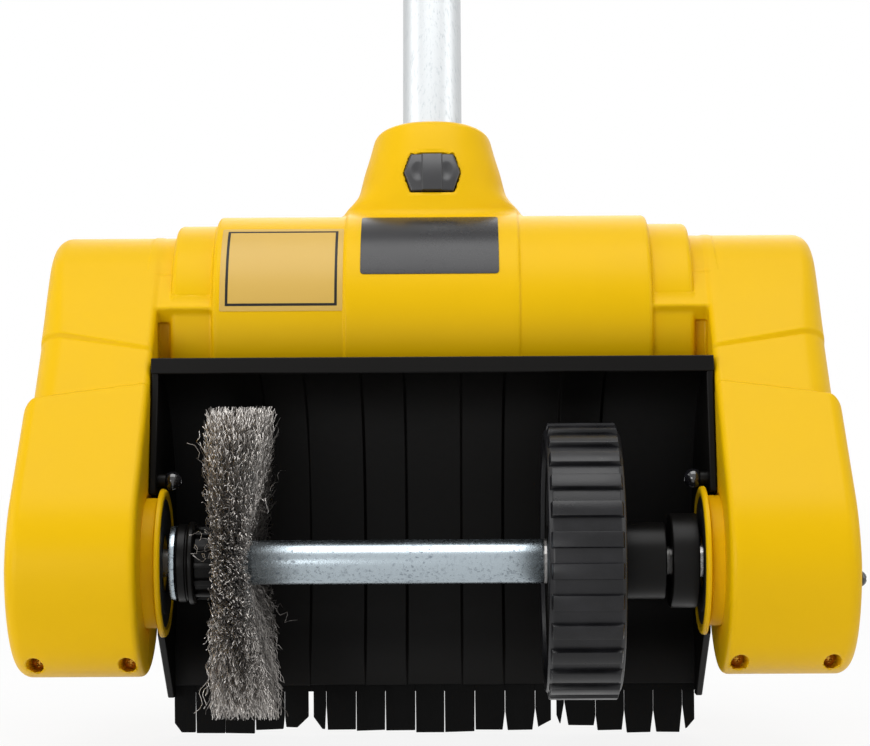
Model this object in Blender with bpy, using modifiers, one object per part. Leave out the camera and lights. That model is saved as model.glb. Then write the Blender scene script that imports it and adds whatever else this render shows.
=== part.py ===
"""Power brush: a motor housing with two arms carries a narrow wire brush and a ribbed support
wheel on one spindle, under a hood with a rubber flap, at the foot of a telescopic tube.

Everything is in metres. +X is to the right, +Y to the back and +Z up. Z = 0 is under the
flap's tips, X = 0 is the middle plane, and Y = 0 is the middle of the whole depth. Places on
the head are measured from the spindle's axis, and places on the pole from the motor's axis,
with Z along the tube.
"""

import math
import random

import bmesh
import bpy
from mathutils import Matrix, Vector

# Clearances and walls
GAP = 0.0003  # between faces that touch
PLAY = 0.0006  # around a part that slides or turns
WALL = 0.003  # moulded shells
CLEAR = 0.010  # how far a cutter reaches past what it cuts

# From the middle out through an arm
ARM_INNER = 0.123  # inner face
GEAR_ROOM = 0.009
GEAR_WIDTH = 0.007
PULLEY_ROOM = 0.004
PULLEY_WIDTH = 0.014
SHAFT_ROOM = 0.011
SHAFT_COVER = 0.007
NOSE_COVER = 0.0075
GEAR_LEFT = ARM_INNER + GEAR_ROOM
PULLEY_LEFT = GEAR_LEFT + GEAR_WIDTH + PULLEY_ROOM
OUTPUT_RIGHT = PULLEY_LEFT + PULLEY_WIDTH + SHAFT_ROOM
ARM_OUTER = OUTPUT_RIGHT + SHAFT_COVER
NOSE_OUTER = ARM_OUTER + NOSE_COVER

# Motor barrel and neck
MOTOR_BACK = 0.088  # motor axis behind the spindle axis
MOTOR_UP = 0.102  # motor axis above the spindle axis
BARREL_RADIUS = 0.052
END_BLOCK_LENGTH = 0.026
BARREL_HALF = ARM_INNER - END_BLOCK_LENGTH  # half length of the full barrel
BAND_HALF = 0.0385  # half width of the raised band in the middle
BAND_RISE = 0.001
END_BLOCK_RADIUS = 0.048
LEAN = math.radians(19)  # the tube leans back
NECK_TOP = 0.099  # along the tube, from the motor axis
NECK_ROOT = 0.030

# Arms
SHOULDER_RADIUS = 0.0425
NOSE_RADIUS = 0.0475
ARM_ROUND = 0.012  # rounding of the outer edge
INNER_ROUND = 0.003
NOSE_RISE = 0.0012  # the nose cover stands proud of the arm
NOSE_REACH = 0.057  # from the spindle axis up the arm
NOSE_DRAFT = 0.025  # how far its outer face leans in, per height above the spindle
NOSE_ROUND = 0.0135  # its outer face is crowned: this far along the spindle
NOSE_CROWN = 0.036  # and this far in from the outline

# Screws and their bosses
SCREW_SHANK = 0.0018
SCREW_HEAD = 0.0033
SCREW_HEAD_HEIGHT = 0.0022
RECESS_RADIUS = 0.0036
BOSS_RADIUS = 0.005
NOSE_SEAT = -0.012
NOSE_SCREW_UP = -0.041
NOSE_SCREW_LENGTH = 0.028
REAR_SEAT = 0.024  # behind the motor axis
REAR_SCREW_UP = 0.040
REAR_SCREW_LENGTH = 0.044
SIDE_SCREW_PLACE = (NOSE_OUTER - 0.0006, -0.022, -0.0065)
SIDE_SCREW_LENGTH = 0.0085
PAD_FACE = 0.055  # the rest on the barrel's back, behind the motor axis

# Hood and flap
HOOD_RADIUS = 0.0861  # inside
HOOD_WALL = 0.0033
LIP_ANGLE = math.radians(82)
LIP_DEPTH = 0.007
LIP_ARC = math.radians(2.2)
HOOD_LOW_ANGLE = math.radians(-18)
HOOD_BACK = 0.074  # inner face of the upright strip at the foot
HOOD_STRIP_TOP = -0.045
HOOD_FOOT = -0.062
RIB_HALF = 0.0093
RIB_PITCH = 0.0445
RIB_RISE = 0.0015
FLAP_TIP = -0.085
FLAP_HALF = ARM_INNER - 0.0025
FLAP_THICKNESS = 0.0025
FLAP_SLIT_TOP = -0.064
FLAP_MIDDLE_HALF = 0.056
FLAP_GROUP_GAP = 0.0023
FLAP_TOOTH = 0.012
FLAP_SLIT = 0.0006
FLAP_SPLAY = 0.0035
STRIP_THICKNESS = 0.003
HOOD_SCREW_BACK = 0.008
HOOD_SCREW_UP = 0.035
HOOD_STUB = 0.0034

# Bearing flanges in the arms' inner walls
FLANGE_RISE = 0.008
FLANGE_FACE = ARM_INNER - FLANGE_RISE
FLANGE_DISC_RADIUS = 0.032
FLANGE_DISC = 0.0022
FLANGE_NECK_RADIUS = 0.028
BEARING_RADIUS = 0.017
BEARING_WIDTH = 0.009

# Spindle, from left to right
SHAFT_RADIUS = 0.006
SHAFT_LEFT = -ARM_INNER - 0.005
WASHER_LEFT = 0.0102 - ARM_INNER
WASHER_THICKNESS = 0.0026
WASHER_RADIUS = 0.016
HUB_FLANGE_RADIUS = 0.019
HUB_FLANGE = 0.0082
HUB_RADIUS = 0.0155
BRUSH_PLACE = 0.027  # from the left arm
BRUSH_LEFT = BRUSH_PLACE - ARM_INNER
BRUSH_WIDTH = 0.020
BRUSH_RADIUS = 0.068
BRUSH_RING_RADIUS = 0.027
BRUSH_FAN = 1.6  # how much wider the tips stand than the roots
BRUSH_SHIFT = 0.0025
STRAND_RADIUS = 0.0006
SPACER_RADIUS = 0.0095
WHEEL_WIDTH = 0.0323
WHEEL_PLACE = 0.043  # from the right arm
WHEEL_LEFT = ARM_INNER - WHEEL_PLACE - WHEEL_WIDTH
WHEEL_RADIUS = 0.0595
WHEEL_BAR_HEIGHT = 0.002
WHEEL_BARS = 28
TYRE_THICKNESS = 0.0075
BUSH_WALL = 0.0035
COLLAR_RADIUS = 0.0165
COLLAR_LENGTH = 0.0193
DOG_LENGTH = 0.0118
DOG_RIGHT = ARM_INNER - 0.0097
DOG_LEFT = DOG_RIGHT - DOG_LENGTH
DOG_RADIUS = 0.0195
DOG_DEPTH = 0.0058
OUTPUT_RADIUS = 0.0075

# Drive in the right arm
GEAR_MODULE = 0.00125
PINION_TEETH = 12
GEAR_TEETH = 48
JACKSHAFT_RADIUS = 0.005
JACKSHAFT_LEFT = ARM_INNER + 0.0018
DRIVE_PULLEY_RADIUS = 0.011
DRIVEN_PULLEY_RADIUS = 0.028
PULLEY_RIM = 0.0016
BELT_THICKNESS = 0.002

# Motor
MOTOR_CASE_RADIUS = 0.0417
MOTOR_CASE_HALF = 0.0715
STATOR_RADIUS = 0.038
STATOR_HALF = 0.038
ARMATURE_RADIUS = 0.023
AIR_GAP = 0.001
MOTOR_SHAFT_RADIUS = 0.004
COMMUTATOR_RADIUS = 0.010
COMMUTATOR_LENGTH = 0.014
COMMUTATOR_LEFT = 0.0155 - MOTOR_CASE_HALF
COMMUTATOR_RIGHT = COMMUTATOR_LEFT + COMMUTATOR_LENGTH
FAN_LENGTH = 0.014
FAN_RIGHT = MOTOR_CASE_HALF - 0.0095
FAN_LEFT = FAN_RIGHT - FAN_LENGTH
REAR_SCREW_OUT = MOTOR_CASE_HALF + 0.0085
FAN_BLADES = 7

# Tubes, along the pole
TUBE_RADIUS = 0.014
TUBE_WALL = 0.0015
TUBE_FOOT = 0.044
LOWER_TUBE_TOP = 0.560
UPPER_TUBE_WALL = 0.0013
TUBE_OVERLAP = 0.130
UPPER_TUBE_FOOT = LOWER_TUBE_TOP - TUBE_OVERLAP
SOCKET_WALL = 0.003
BUTTON_UP = 0.067
BUTTON_FACE = 0.030  # from the tube's axis
BUTTON_WIDE = 0.013
BUTTON_FLAT = 0.0098
BUTTON_TALL = 0.0098
STEM_RADIUS = 0.0025
PIN_RADIUS = 0.003
PIN_TOP = 0.0176
SPRING_RADIUS = 0.0046
SPRING_WIRE = 0.0004
SPRING_TURNS = 5
COLLAR_GRIP = 0.030
COLLAR_RISE = 0.040
COLLAR_FOOT = LOWER_TUBE_TOP - COLLAR_GRIP
COLLAR_TOP = LOWER_TUBE_TOP + COLLAR_RISE
COLLAR_WALL = 0.006
LEVER_FRONT = 0.026
LEVER_UP = COLLAR_TOP - 0.012
LEVER_HALF = 0.009
LEVER_LENGTH = 0.046
LEVER_PIN_RADIUS = 0.0025
LUG_HALF = 0.005

# Second handle
TELESCOPE_OUT = 0.320  # from the lower tube's top to the main handle
HANDLE_FOOT = LOWER_TUBE_TOP + TELESCOPE_OUT
AUX_DROP = 0.095  # below the main handle
AUX_UP = HANDLE_FOOT - AUX_DROP
AUX_PIVOT = 0.032  # in front of the tube's axis
AUX_HALF = 0.0155
BOLT_RADIUS = 0.003
EYE_THICKNESS = 0.0166
EYE_RADIUS = 0.011
BOW_RADIUS = 0.008
BOW_FOOT = 0.020
BOW_REACH = 0.125
BOW_HALF = 0.062
BOW_RISE = math.radians(30)
KNOB_LENGTH = 0.0142

# Main handle
HANDLE_LENGTH = 0.195
HANDLE_HALF = 0.017
HANDLE_FRONT = 0.055  # in front of the tube's axis
HANDLE_BACK = 0.035
HANDLE_ROUND = 0.006
GRIP_THICKNESS = 0.027
GUARD_THICKNESS = 0.020
TUBE_IN_HANDLE = 0.045
TRIGGER_BACK = 0.016
TRIGGER_UP = HANDLE_FOOT + 0.070
TRIGGER_HALF = 0.0055
TRIGGER_PIN_RADIUS = 0.0022
SWITCH_LOW = TRIGGER_UP + 0.0435
SWITCH_HIGH = TRIGGER_UP + 0.0715
LOCK_BACK = 0.022
LOCK_UP = HANDLE_FOOT + 0.095
LOCK_RADIUS = 0.006
GLAND_BACK = HANDLE_BACK - GRIP_THICKNESS / 2
GLAND_RADIUS = 0.006
GLAND_BORE = 0.0036
GLAND_RISE = 0.034
HANDLE_SCREW_PLACE = (WALL - HANDLE_HALF, 0.024, HANDLE_FOOT + 0.038)

ARM_LENGTH = math.hypot(MOTOR_BACK, MOTOR_UP)
ARM_ANGLE = math.atan2(MOTOR_UP, MOTOR_BACK)
HOOD_OUTER = HOOD_RADIUS + HOOD_WALL
HOOD_HALF = ARM_INNER - GAP
BORE_RADIUS = SHAFT_RADIUS + GAP
UPPER_TUBE_RADIUS = TUBE_RADIUS - TUBE_WALL - GAP
SOCKET_RADIUS = TUBE_RADIUS + SOCKET_WALL + GAP
BUTTON_FLOOR = SOCKET_RADIUS + PLAY
PITCH_PINION = GEAR_MODULE * PINION_TEETH / 2
PITCH_GEAR = GEAR_MODULE * GEAR_TEETH / 2
JACKSHAFT_DROP = PITCH_PINION + PITCH_GEAR + 0.0001
JACKSHAFT_BACK = MOTOR_BACK - JACKSHAFT_DROP * math.cos(ARM_ANGLE)
JACKSHAFT_UP = MOTOR_UP - JACKSHAFT_DROP * math.sin(ARM_ANGLE)
HANDLE_TOP = HANDLE_FOOT + HANDLE_LENGTH

DEEPEST = (
    MOTOR_BACK
    + (HANDLE_TOP + GLAND_RISE) * math.sin(LEAN)
    + (GLAND_BACK + GLAND_BORE + 0.0018) * math.cos(LEAN)
)
AXLE_PLACE = (0, (BRUSH_RADIUS - DEEPEST) / 2, -FLAP_TIP)

# Local Z becomes X, so an outline in (Y, Z) or a profile about X is drawn flat
SIDEWAYS = Matrix(((0, 0, 1, 0), (1, 0, 0, 0), (0, 1, 0, 0), (0, 0, 0, 1)))
TO_FRONT = Matrix.Rotation(math.radians(90), 4, "X")
TO_BACK = Matrix.Rotation(math.radians(-90), 4, "X")
FLIP = Matrix.Rotation(math.pi, 4, "X")
UPRIGHT = Matrix.Identity(4)

for old in list(bpy.data.objects):
    bpy.data.objects.remove(old, do_unlink=True)

parts = bpy.data.collections.new("power_brush")
cutters = bpy.data.collections.new("cutters")
bpy.context.scene.collection.children.link(parts)
bpy.context.scene.collection.children.link(cutters)


# Materials
def finish(name, colour, roughness, metallic=0.0):
    material = bpy.data.materials.new(name)
    material.use_nodes = True
    shader = material.node_tree.nodes["Principled BSDF"]
    shader.inputs["Base Color"].default_value = (*colour, 1)
    shader.inputs["Roughness"].default_value = roughness
    shader.inputs["Metallic"].default_value = metallic
    material.diffuse_color = (*colour, 1)
    return material


YELLOW = finish("yellow_plastic", (0.93, 0.52, 0.03), 0.4)
BLACK = finish("black_plastic", (0.02, 0.02, 0.022), 0.45)
RUBBER = finish("black_rubber", (0.015, 0.015, 0.015), 0.7)
TYRE = finish("tyre_rubber", (0.03, 0.03, 0.032), 0.6)
ZINC = finish("zinc_plate", (0.62, 0.65, 0.68), 0.3, 1)
STEEL = finish("bright_steel", (0.55, 0.55, 0.56), 0.35, 1)
WIRE = finish("crimped_wire", (0.30, 0.28, 0.26), 0.4, 1)
ALUMINIUM = finish("satin_aluminium", (0.75, 0.77, 0.79), 0.4, 1)
COPPER = finish("copper_winding", (0.60, 0.26, 0.12), 0.4, 1)


# Building tools
def add(name, data, parent, matrix, material=None):
    """Adds an object under its parent, as a part if it has a material, or else as a cutter."""
    piece = bpy.data.objects.new(name, data)
    piece.parent = parent
    piece.matrix_local = matrix
    if material:
        data.materials.append(material)
        parts.objects.link(piece)
    else:
        piece.hide_render = True
        piece.display_type = "WIRE"
        cutters.objects.link(piece)
    return piece


def axis(name, place, parent=None, tilt=0.0):
    empty = bpy.data.objects.new(name, None)
    empty.empty_display_size = 0.02
    empty.location = place
    empty.rotation_euler = (tilt, 0, 0)
    empty.parent = parent
    parts.objects.link(empty)
    return empty


def mesh_from(name, shape):
    mesh = bpy.data.meshes.new(name)
    shape.to_mesh(mesh)
    shape.free()
    return mesh


def solid(curve):
    """Makes a curve object a mesh object, with its caps welded on, so that it can be cut."""
    bpy.context.view_layer.update()
    graph = bpy.context.evaluated_depsgraph_get()
    shape = bmesh.new()
    mesh = bpy.data.meshes.new_from_object(curve.evaluated_get(graph))
    shape.from_mesh(mesh)
    bmesh.ops.remove_doubles(shape, verts=shape.verts, dist=1e-6)
    bmesh.ops.recalc_face_normals(shape, faces=shape.faces)
    shape.to_mesh(mesh)
    shape.free()
    mesh.shade_smooth()
    mesh.set_sharp_from_angle(angle=math.radians(35))
    name = curve.name
    curve.name = name + "_curve"
    piece = bpy.data.objects.new(name, mesh)
    piece.parent = curve.parent
    piece.matrix_local = curve.matrix_local
    piece.hide_render = curve.hide_render
    piece.display_type = curve.display_type
    curve.users_collection[0].objects.link(piece)
    bpy.data.objects.remove(curve, do_unlink=True)
    return piece


def plate(name, outlines, low, high, parent, material=None, matrix=SIDEWAYS):
    """A flat outline, with any holes after it, from low to high along its normal."""
    curve = bpy.data.curves.new(name, "CURVE")
    curve.dimensions = "2D"
    curve.fill_mode = "BOTH"
    curve.extrude = (high - low) / 2
    for outline in outlines:
        spline = curve.splines.new("POLY")
        spline.points.add(len(outline) - 1)
        for point, (across, up) in zip(spline.points, outline):
            point.co = (across, up, 0, 1)
        spline.use_cyclic_u = True
    middle = Matrix.Translation((0, 0, (low + high) / 2))
    return solid(add(name, curve, parent, matrix @ middle, material))


def pipe(name, points, radius, parent, material, resolution=2):
    curve = bpy.data.curves.new(name, "CURVE")
    curve.dimensions = "3D"
    curve.bevel_depth = radius
    curve.bevel_resolution = resolution
    curve.use_fill_caps = True
    spline = curve.splines.new("POLY")
    spline.points.add(len(points) - 1)
    for point, place in zip(spline.points, points):
        point.co = (*place, 1)
    return solid(add(name, curve, parent, UPRIGHT, material))


def turned(name, profile, parent, material=None, matrix=SIDEWAYS, steps=16):
    """Turns a profile of (radius, height) that runs down its outer side.

    One that starts and ends on the axis is solid, and any other is closed into a ring.
    """
    shape = bmesh.new()
    corners = [shape.verts.new((radius, 0, height)) for radius, height in profile]
    for first, second in zip(corners, corners[1:]):
        shape.edges.new((first, second))
    if profile[0][0] > 0:
        shape.edges.new((corners[-1], corners[0]))
    piece = add(name, mesh_from(name, shape), parent, matrix, material)
    screw = piece.modifiers.new("turn", "SCREW")
    screw.axis = "Z"
    screw.steps = steps
    screw.render_steps = steps
    screw.use_merge_vertices = True
    screw.merge_threshold = 0.00001
    screw.use_smooth_shade = True
    return piece


def ring(name, inner, outer, low, high, parent, material=None, matrix=SIDEWAYS, steps=16):
    profile = [(inner, high), (outer, high), (outer, low), (inner, low)]
    return turned(name, profile, parent, material, matrix, steps)


def rod(name, radius, low, high, parent, material=None, matrix=SIDEWAYS, steps=16):
    profile = [(0, high), (radius, high), (radius, low), (0, low)]
    return turned(name, profile, parent, material, matrix, steps)


def loft(name, rings, parent, material=None):
    """A closed body through rings of as many points each."""
    shape = bmesh.new()
    loops = [[shape.verts.new(point) for point in loop] for loop in rings]
    for first, second in zip(loops, loops[1:]):
        for i in range(len(first)):
            j = (i + 1) % len(first)
            shape.faces.new((first[i], first[j], second[j], second[i]))
    shape.faces.new(loops[0])
    shape.faces.new(loops[-1])
    bmesh.ops.recalc_face_normals(shape, faces=shape.faces)
    return add(name, mesh_from(name, shape), parent, UPRIGHT, material)


def boxes(name, middles, size, parent, matrix=UPRIGHT):
    """A cutter of equal boxes that lie apart."""
    shape = bmesh.new()
    for middle in middles:
        place = Matrix.Translation(middle) @ Matrix.Diagonal((*size, 1))
        bmesh.ops.create_cube(shape, size=1, matrix=place)
    return add(name, mesh_from(name, shape), parent, matrix)


def rods(name, places, radius, low, high, parent, matrix, steps=10):
    """A cutter of equal rods along local Z that lie apart, at places in the parent's frame."""
    shape = bmesh.new()
    for place in places:
        middle = Matrix.Translation(place) @ matrix @ Matrix.Translation((0, 0, (low + high) / 2))
        bmesh.ops.create_cone(
            shape, cap_ends=True, segments=steps, radius1=radius, radius2=radius,
            depth=high - low, matrix=middle,
        )
    return add(name, mesh_from(name, shape), parent, UPRIGHT)


def combine(piece, operation, *tools):
    for tool in tools:
        modifier = piece.modifiers.new(tool.name, "BOOLEAN")
        modifier.operation = operation
        modifier.solver = "EXACT"
        modifier.object = tool
    return piece


# Outlines
def arc(centre, radius, start, end, steps):
    return [
        (
            centre[0] + radius * math.cos(start + (end - start) * i / steps),
            centre[1] + radius * math.sin(start + (end - start) * i / steps),
        )
        for i in range(steps + 1)
    ]


def circle(centre, radius, steps=24):
    return arc(centre, radius, 0, math.tau, steps)[:-1]


def around(first, first_radius, second, second_radius, first_steps=7, second_steps=7):
    """The outline round two circles, with straight sides that touch both."""
    along = math.atan2(second[1] - first[1], second[0] - first[0])
    length = math.hypot(second[0] - first[0], second[1] - first[1])
    touch = math.acos((first_radius - second_radius) / length)
    back = arc(first, first_radius, along + touch, along + math.tau - touch, first_steps)
    front = arc(second, second_radius, along - touch, along + touch, second_steps)
    return back + front


def rounded(corners, radius, steps=3):
    """The outline with its corners rounded, for corners that turn to the left."""
    outline = []
    for i, corner in enumerate(corners):
        here = Vector(corner)
        before = (Vector(corners[i - 1]) - here).normalized()
        after = (Vector(corners[(i + 1) % len(corners)]) - here).normalized()
        half = before.angle(after) / 2
        middle = here + (before + after).normalized() * radius / math.sin(half)
        start = here + before * radius / math.tan(half) - middle
        sweep = math.pi - 2 * half
        for k in range(steps + 1):
            turn = Matrix.Rotation(sweep * k / steps, 2)
            outline.append(tuple(middle + turn @ start))
    return outline


def drawn_in(corners, amount):
    """A convex outline that turns to the left, moved inwards all round."""
    moved = []
    for i, corner in enumerate(corners):
        here = Vector(corner)
        before = (here - Vector(corners[i - 1])).normalized()
        after = (Vector(corners[(i + 1) % len(corners)]) - here).normalized()
        reach = amount / math.cos(before.angle(after) / 2)
        moved.append(tuple(here + (after - before).normalized() * reach))
    return moved


def box_outline(left, right, low, high):
    return [(left, low), (right, low), (right, high), (left, high)]


def gear_outline(teeth, phase, steps):
    """Teeth with nearly straight flanks and a little backlash, on a pitch circle."""
    pitch = GEAR_MODULE * teeth / 2
    tip = pitch + 0.75 * GEAR_MODULE
    root = pitch - 1.05 * GEAR_MODULE
    points = []
    for i in range(teeth):
        middle = phase + math.tau * i / teeth
        for k in range(steps):
            radius = root + (tip - root) * k / (steps - 1)
            points.append((radius, middle - half_tooth(teeth, radius)))
        for k in reversed(range(steps)):
            radius = root + (tip - root) * k / (steps - 1)
            points.append((radius, middle + half_tooth(teeth, radius)))
    return [(r * math.cos(a), r * math.sin(a)) for r, a in points]


def half_tooth(teeth, radius):
    """Half the angle that an involute tooth takes up at this radius."""
    pitch = GEAR_MODULE * teeth / 2
    base = pitch * math.cos(math.radians(20))
    backlash = 0.12 * GEAR_MODULE
    at_pitch = (math.pi / 4 * GEAR_MODULE - backlash) / pitch
    pressure = math.acos(min(1, base / radius))
    at_twenty = math.tan(math.radians(20)) - math.radians(20)
    return at_pitch + at_twenty - (math.tan(pressure) - pressure)


# Frames that the pieces hang in
head = axis("head", AXLE_PLACE)
pole = axis("pole", (0, MOTOR_BACK, MOTOR_UP), head, -LEAN)
motor_axis = axis("motor_axis", (0, MOTOR_BACK, MOTOR_UP), head)
jackshaft_axis = axis("jackshaft_axis", (0, JACKSHAFT_BACK, JACKSHAFT_UP), head)
spindle_axis = axis("spindle_axis", (0, 0, 0), head)
wheel_axis = axis("wheel_axis", (0, 0, 0), spindle_axis)
button_axis = axis("button_axis", (0, 0, BUTTON_UP), pole)
pin_axis = axis("pin_axis", (0, 0, BUTTON_UP), pole)
lever_axis = axis("lever_axis", (0, -LEVER_FRONT, LEVER_UP), pole)
telescope_axis = axis("telescope_axis", (0, 0, 0), pole)
bow_axis = axis("bow_axis", (0, -AUX_PIVOT, AUX_UP), telescope_axis)
knob_axis = axis("knob_axis", (0, -AUX_PIVOT, AUX_UP), telescope_axis)
trigger_axis = axis("trigger_axis", (0, TRIGGER_BACK, TRIGGER_UP), telescope_axis)
lock_axis = axis("lock_axis", (0, LOCK_BACK, LOCK_UP), telescope_axis)
gland_axis = axis("gland_axis", (0, GLAND_BACK, 0), telescope_axis)


# Motor housing
def arm_rings(side, radius_change, inner, outer, edge, inner_edge):
    """Rings along an arm, drawn in at both faces so that the edges are round."""
    stations = [(inner, inner_edge), (inner + inner_edge, 0), (outer - edge, 0)]
    for k in (1, 2, 3):
        angle = math.radians(30 * k)
        stations.append((outer - edge + edge * math.sin(angle), edge * (1 - math.cos(angle))))
    rings = []
    for along, inset in stations:
        outline = around(
            (MOTOR_BACK, MOTOR_UP), SHOULDER_RADIUS + radius_change - inset,
            (0, 0), NOSE_RADIUS + radius_change - inset,
        )
        rings.append([(side * along, y, z) for y, z in outline])
    return rings


def nose_rings(side, radius_change, inner, outer, reach):
    """The cover over the arm's nose, which ends square across the arm."""
    end = (reach * math.cos(ARM_ANGLE), reach * math.sin(ARM_ANGLE))
    end_radius = NOSE_RADIUS + (SHOULDER_RADIUS - NOSE_RADIUS) * reach / ARM_LENGTH
    stations = [(inner, 0), (outer - NOSE_ROUND, 0)]
    for k in (1, 2, 3):
        angle = math.radians(30 * k)
        stations.append(
            (outer - NOSE_ROUND * (1 - math.sin(angle)), NOSE_CROWN * (1 - math.cos(angle)))
        )
    return [
        [
            (side * (along - NOSE_DRAFT * max(z, 0) * (along - inner) / (outer - inner)), y, z)
            for y, z in around(
                end, end_radius + radius_change - inset,
                (0, 0), NOSE_RADIUS + radius_change - inset, 1, 8,
            )
        ]
        for along, inset in stations
    ]


def neck_rings(inward, foot, top):
    """Ellipses up the neck, drawn in by a wall for the hollow inside."""
    sizes = (
        (NECK_ROOT, 0.0380, 0.0300),
        (0.0520, 0.0380, 0.0300),
        (0.0750, 0.0323, 0.0280),
        (0.0900, 0.0283, 0.0255),
        (0.0955, 0.0258, 0.0225),
        (0.0980, 0.0232, 0.0195),
        (NECK_TOP, 0.0205, 0.0175),
    )
    rings = []
    for up, across, deep in sizes:
        height = min(max(up, foot), top)
        rings.append([
            ((across - inward) * math.cos(a), (deep - inward) * math.sin(a), height)
            for a in (math.tau * i / 20 for i in range(20))
        ])
    return rings


def region(shift):
    """Everything on one side of the split, which follows the tube and then the arms."""
    far = 0.4
    side = math.copysign(far, shift)
    top = (MOTOR_BACK + far * math.sin(LEAN), MOTOR_UP + far * math.cos(LEAN))
    line = [top, (MOTOR_BACK, MOTOR_UP), (0, 0), (0, -far)]
    corners = [(y + shift, z) for y, z in line]
    corners += [(side, -far), (side, top[1])]
    return corners


def housing():
    across = ARM_INNER + CLEAR
    from_nose = NOSE_RADIUS + CLEAR
    from_barrel = BARREL_RADIUS + CLEAR
    from_button = BUTTON_FACE + CLEAR
    seat = rod("hood_seat", HOOD_OUTER + GAP, -across, across, head, steps=40)
    barrel = turned("barrel_form", [
        (0, ARM_INNER + 0.004),
        (END_BLOCK_RADIUS - 0.008, ARM_INNER + 0.004),
        (END_BLOCK_RADIUS - 0.008, ARM_INNER + 0.001),
        (END_BLOCK_RADIUS, ARM_INNER - 0.004),
        (END_BLOCK_RADIUS, BARREL_HALF + 0.002),
        (BARREL_RADIUS, BARREL_HALF),
        (BARREL_RADIUS, BAND_HALF + 0.002),
        (BARREL_RADIUS + BAND_RISE, BAND_HALF),
        (BARREL_RADIUS + BAND_RISE, -BAND_HALF),
        (BARREL_RADIUS, -BAND_HALF - 0.002),
        (BARREL_RADIUS, -BARREL_HALF),
        (END_BLOCK_RADIUS, -BARREL_HALF - 0.002),
        (END_BLOCK_RADIUS, 0.004 - ARM_INNER),
        (END_BLOCK_RADIUS - 0.008, -0.001 - ARM_INNER),
        (END_BLOCK_RADIUS - 0.008, -0.004 - ARM_INNER),
        (0, -0.004 - ARM_INNER),
    ], motor_axis, steps=30)
    combine(barrel, "DIFFERENCE", seat)
    inner_seat = rod("hood_seat_wall", HOOD_OUTER + GAP + WALL, -across, across, head, steps=40)
    hollow = BARREL_RADIUS - WALL
    rib = MOTOR_CASE_RADIUS + GAP
    rib_half = 0.002
    far = MOTOR_CASE_HALF - 0.0075
    half_profile = [
        (0, ARM_INNER + 2 * WALL),
        (SHOULDER_RADIUS - 2 * WALL, ARM_INNER + 2 * WALL),
        (SHOULDER_RADIUS - 2 * WALL, ARM_INNER - 0.004),
        (END_BLOCK_RADIUS - WALL, ARM_INNER - 0.006),
        (END_BLOCK_RADIUS - WALL, BARREL_HALF - WALL + 0.002),
        (hollow, BARREL_HALF - WALL),
        (hollow, far + rib_half),
        (rib, far + rib_half),
        (rib, far - rib_half),
        (hollow, far - rib_half),
    ]
    mirrored = [(radius, -along) for radius, along in reversed(half_profile)]
    cavity = turned("barrel_hollow", half_profile + mirrored, motor_axis, steps=24)
    combine(cavity, "DIFFERENCE", inner_seat)

    form, hollows = [], []
    for side, word in ((-1, "left"), (1, "right")):
        form.append(loft(
            word + "_arm_form",
            arm_rings(side, 0, ARM_INNER, ARM_OUTER, ARM_ROUND, INNER_ROUND), head,
        ))
        form.append(loft(
            word + "_nose_form",
            nose_rings(
                side, NOSE_RISE, ARM_INNER + INNER_ROUND, NOSE_OUTER, NOSE_REACH,
            ), head,
        ))
        hollows.append(loft(
            word + "_arm_hollow",
            arm_rings(side, -WALL, ARM_INNER + WALL, ARM_OUTER - WALL, ARM_ROUND - WALL, 0.001),
            head,
        ))
        hollows.append(loft(
            word + "_nose_hollow",
            nose_rings(
                side, NOSE_RISE - WALL, ARM_INNER + 0.011, NOSE_OUTER - WALL,
                NOSE_REACH - WALL,
            ), head,
        ))
    form.append(loft("neck_form", neck_rings(0, NECK_ROOT, NECK_TOP), pole))
    hollows.append(loft("neck_hollow", neck_rings(WALL, NECK_ROOT + 0.008, NECK_TOP - WALL), pole))
    combine(barrel, "UNION", *form)
    combine(cavity, "UNION", *hollows)

    # Material that stays inside the hollow
    nose_screw_bosses = rods(
        "nose_screw_bosses", nose_screw_places(), BOSS_RADIUS, -from_nose, from_nose, head,
        TO_FRONT,
    )
    rear_screw_bosses = rods(
        "rear_screw_bosses", rear_screw_places(), BOSS_RADIUS, -from_barrel, from_barrel, head,
        TO_BACK,
    )
    socket = rod(
        "tube_socket", SOCKET_RADIUS, TUBE_FOOT - WALL, NECK_TOP + CLEAR, pole, matrix=UPRIGHT,
        steps=24,
    )
    inner_boss = rod(
        "jackshaft_inner_boss", JACKSHAFT_RADIUS + WALL, ARM_INNER - 0.001,
        GEAR_LEFT - 2 * PLAY, jackshaft_axis,
    )
    outer_boss = rod(
        "jackshaft_outer_boss", JACKSHAFT_RADIUS + WALL,
        PULLEY_LEFT + PULLEY_WIDTH + 2 * PLAY + 0.002, ARM_OUTER + CLEAR, jackshaft_axis,
    )
    output_boss = rod(
        "output_outer_boss", OUTPUT_RADIUS + WALL, PULLEY_LEFT + PULLEY_WIDTH + 0.004,
        NOSE_OUTER + CLEAR, spindle_axis,
    )
    side_screw_boss = rods(
        "side_screw_boss", [SIDE_SCREW_PLACE], BOSS_RADIUS, -SIDE_SCREW_LENGTH - WALL, CLEAR,
        head, SIDEWAYS,
    )
    button_guide = button_prism(
        "button_guide", PLAY + 0.0022, SOCKET_RADIUS - 0.002, from_button,
    )
    combine(
        cavity, "DIFFERENCE", nose_screw_bosses, rear_screw_bosses, socket, inner_boss,
        outer_boss, output_boss, side_screw_boss, button_guide,
    )

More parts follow.
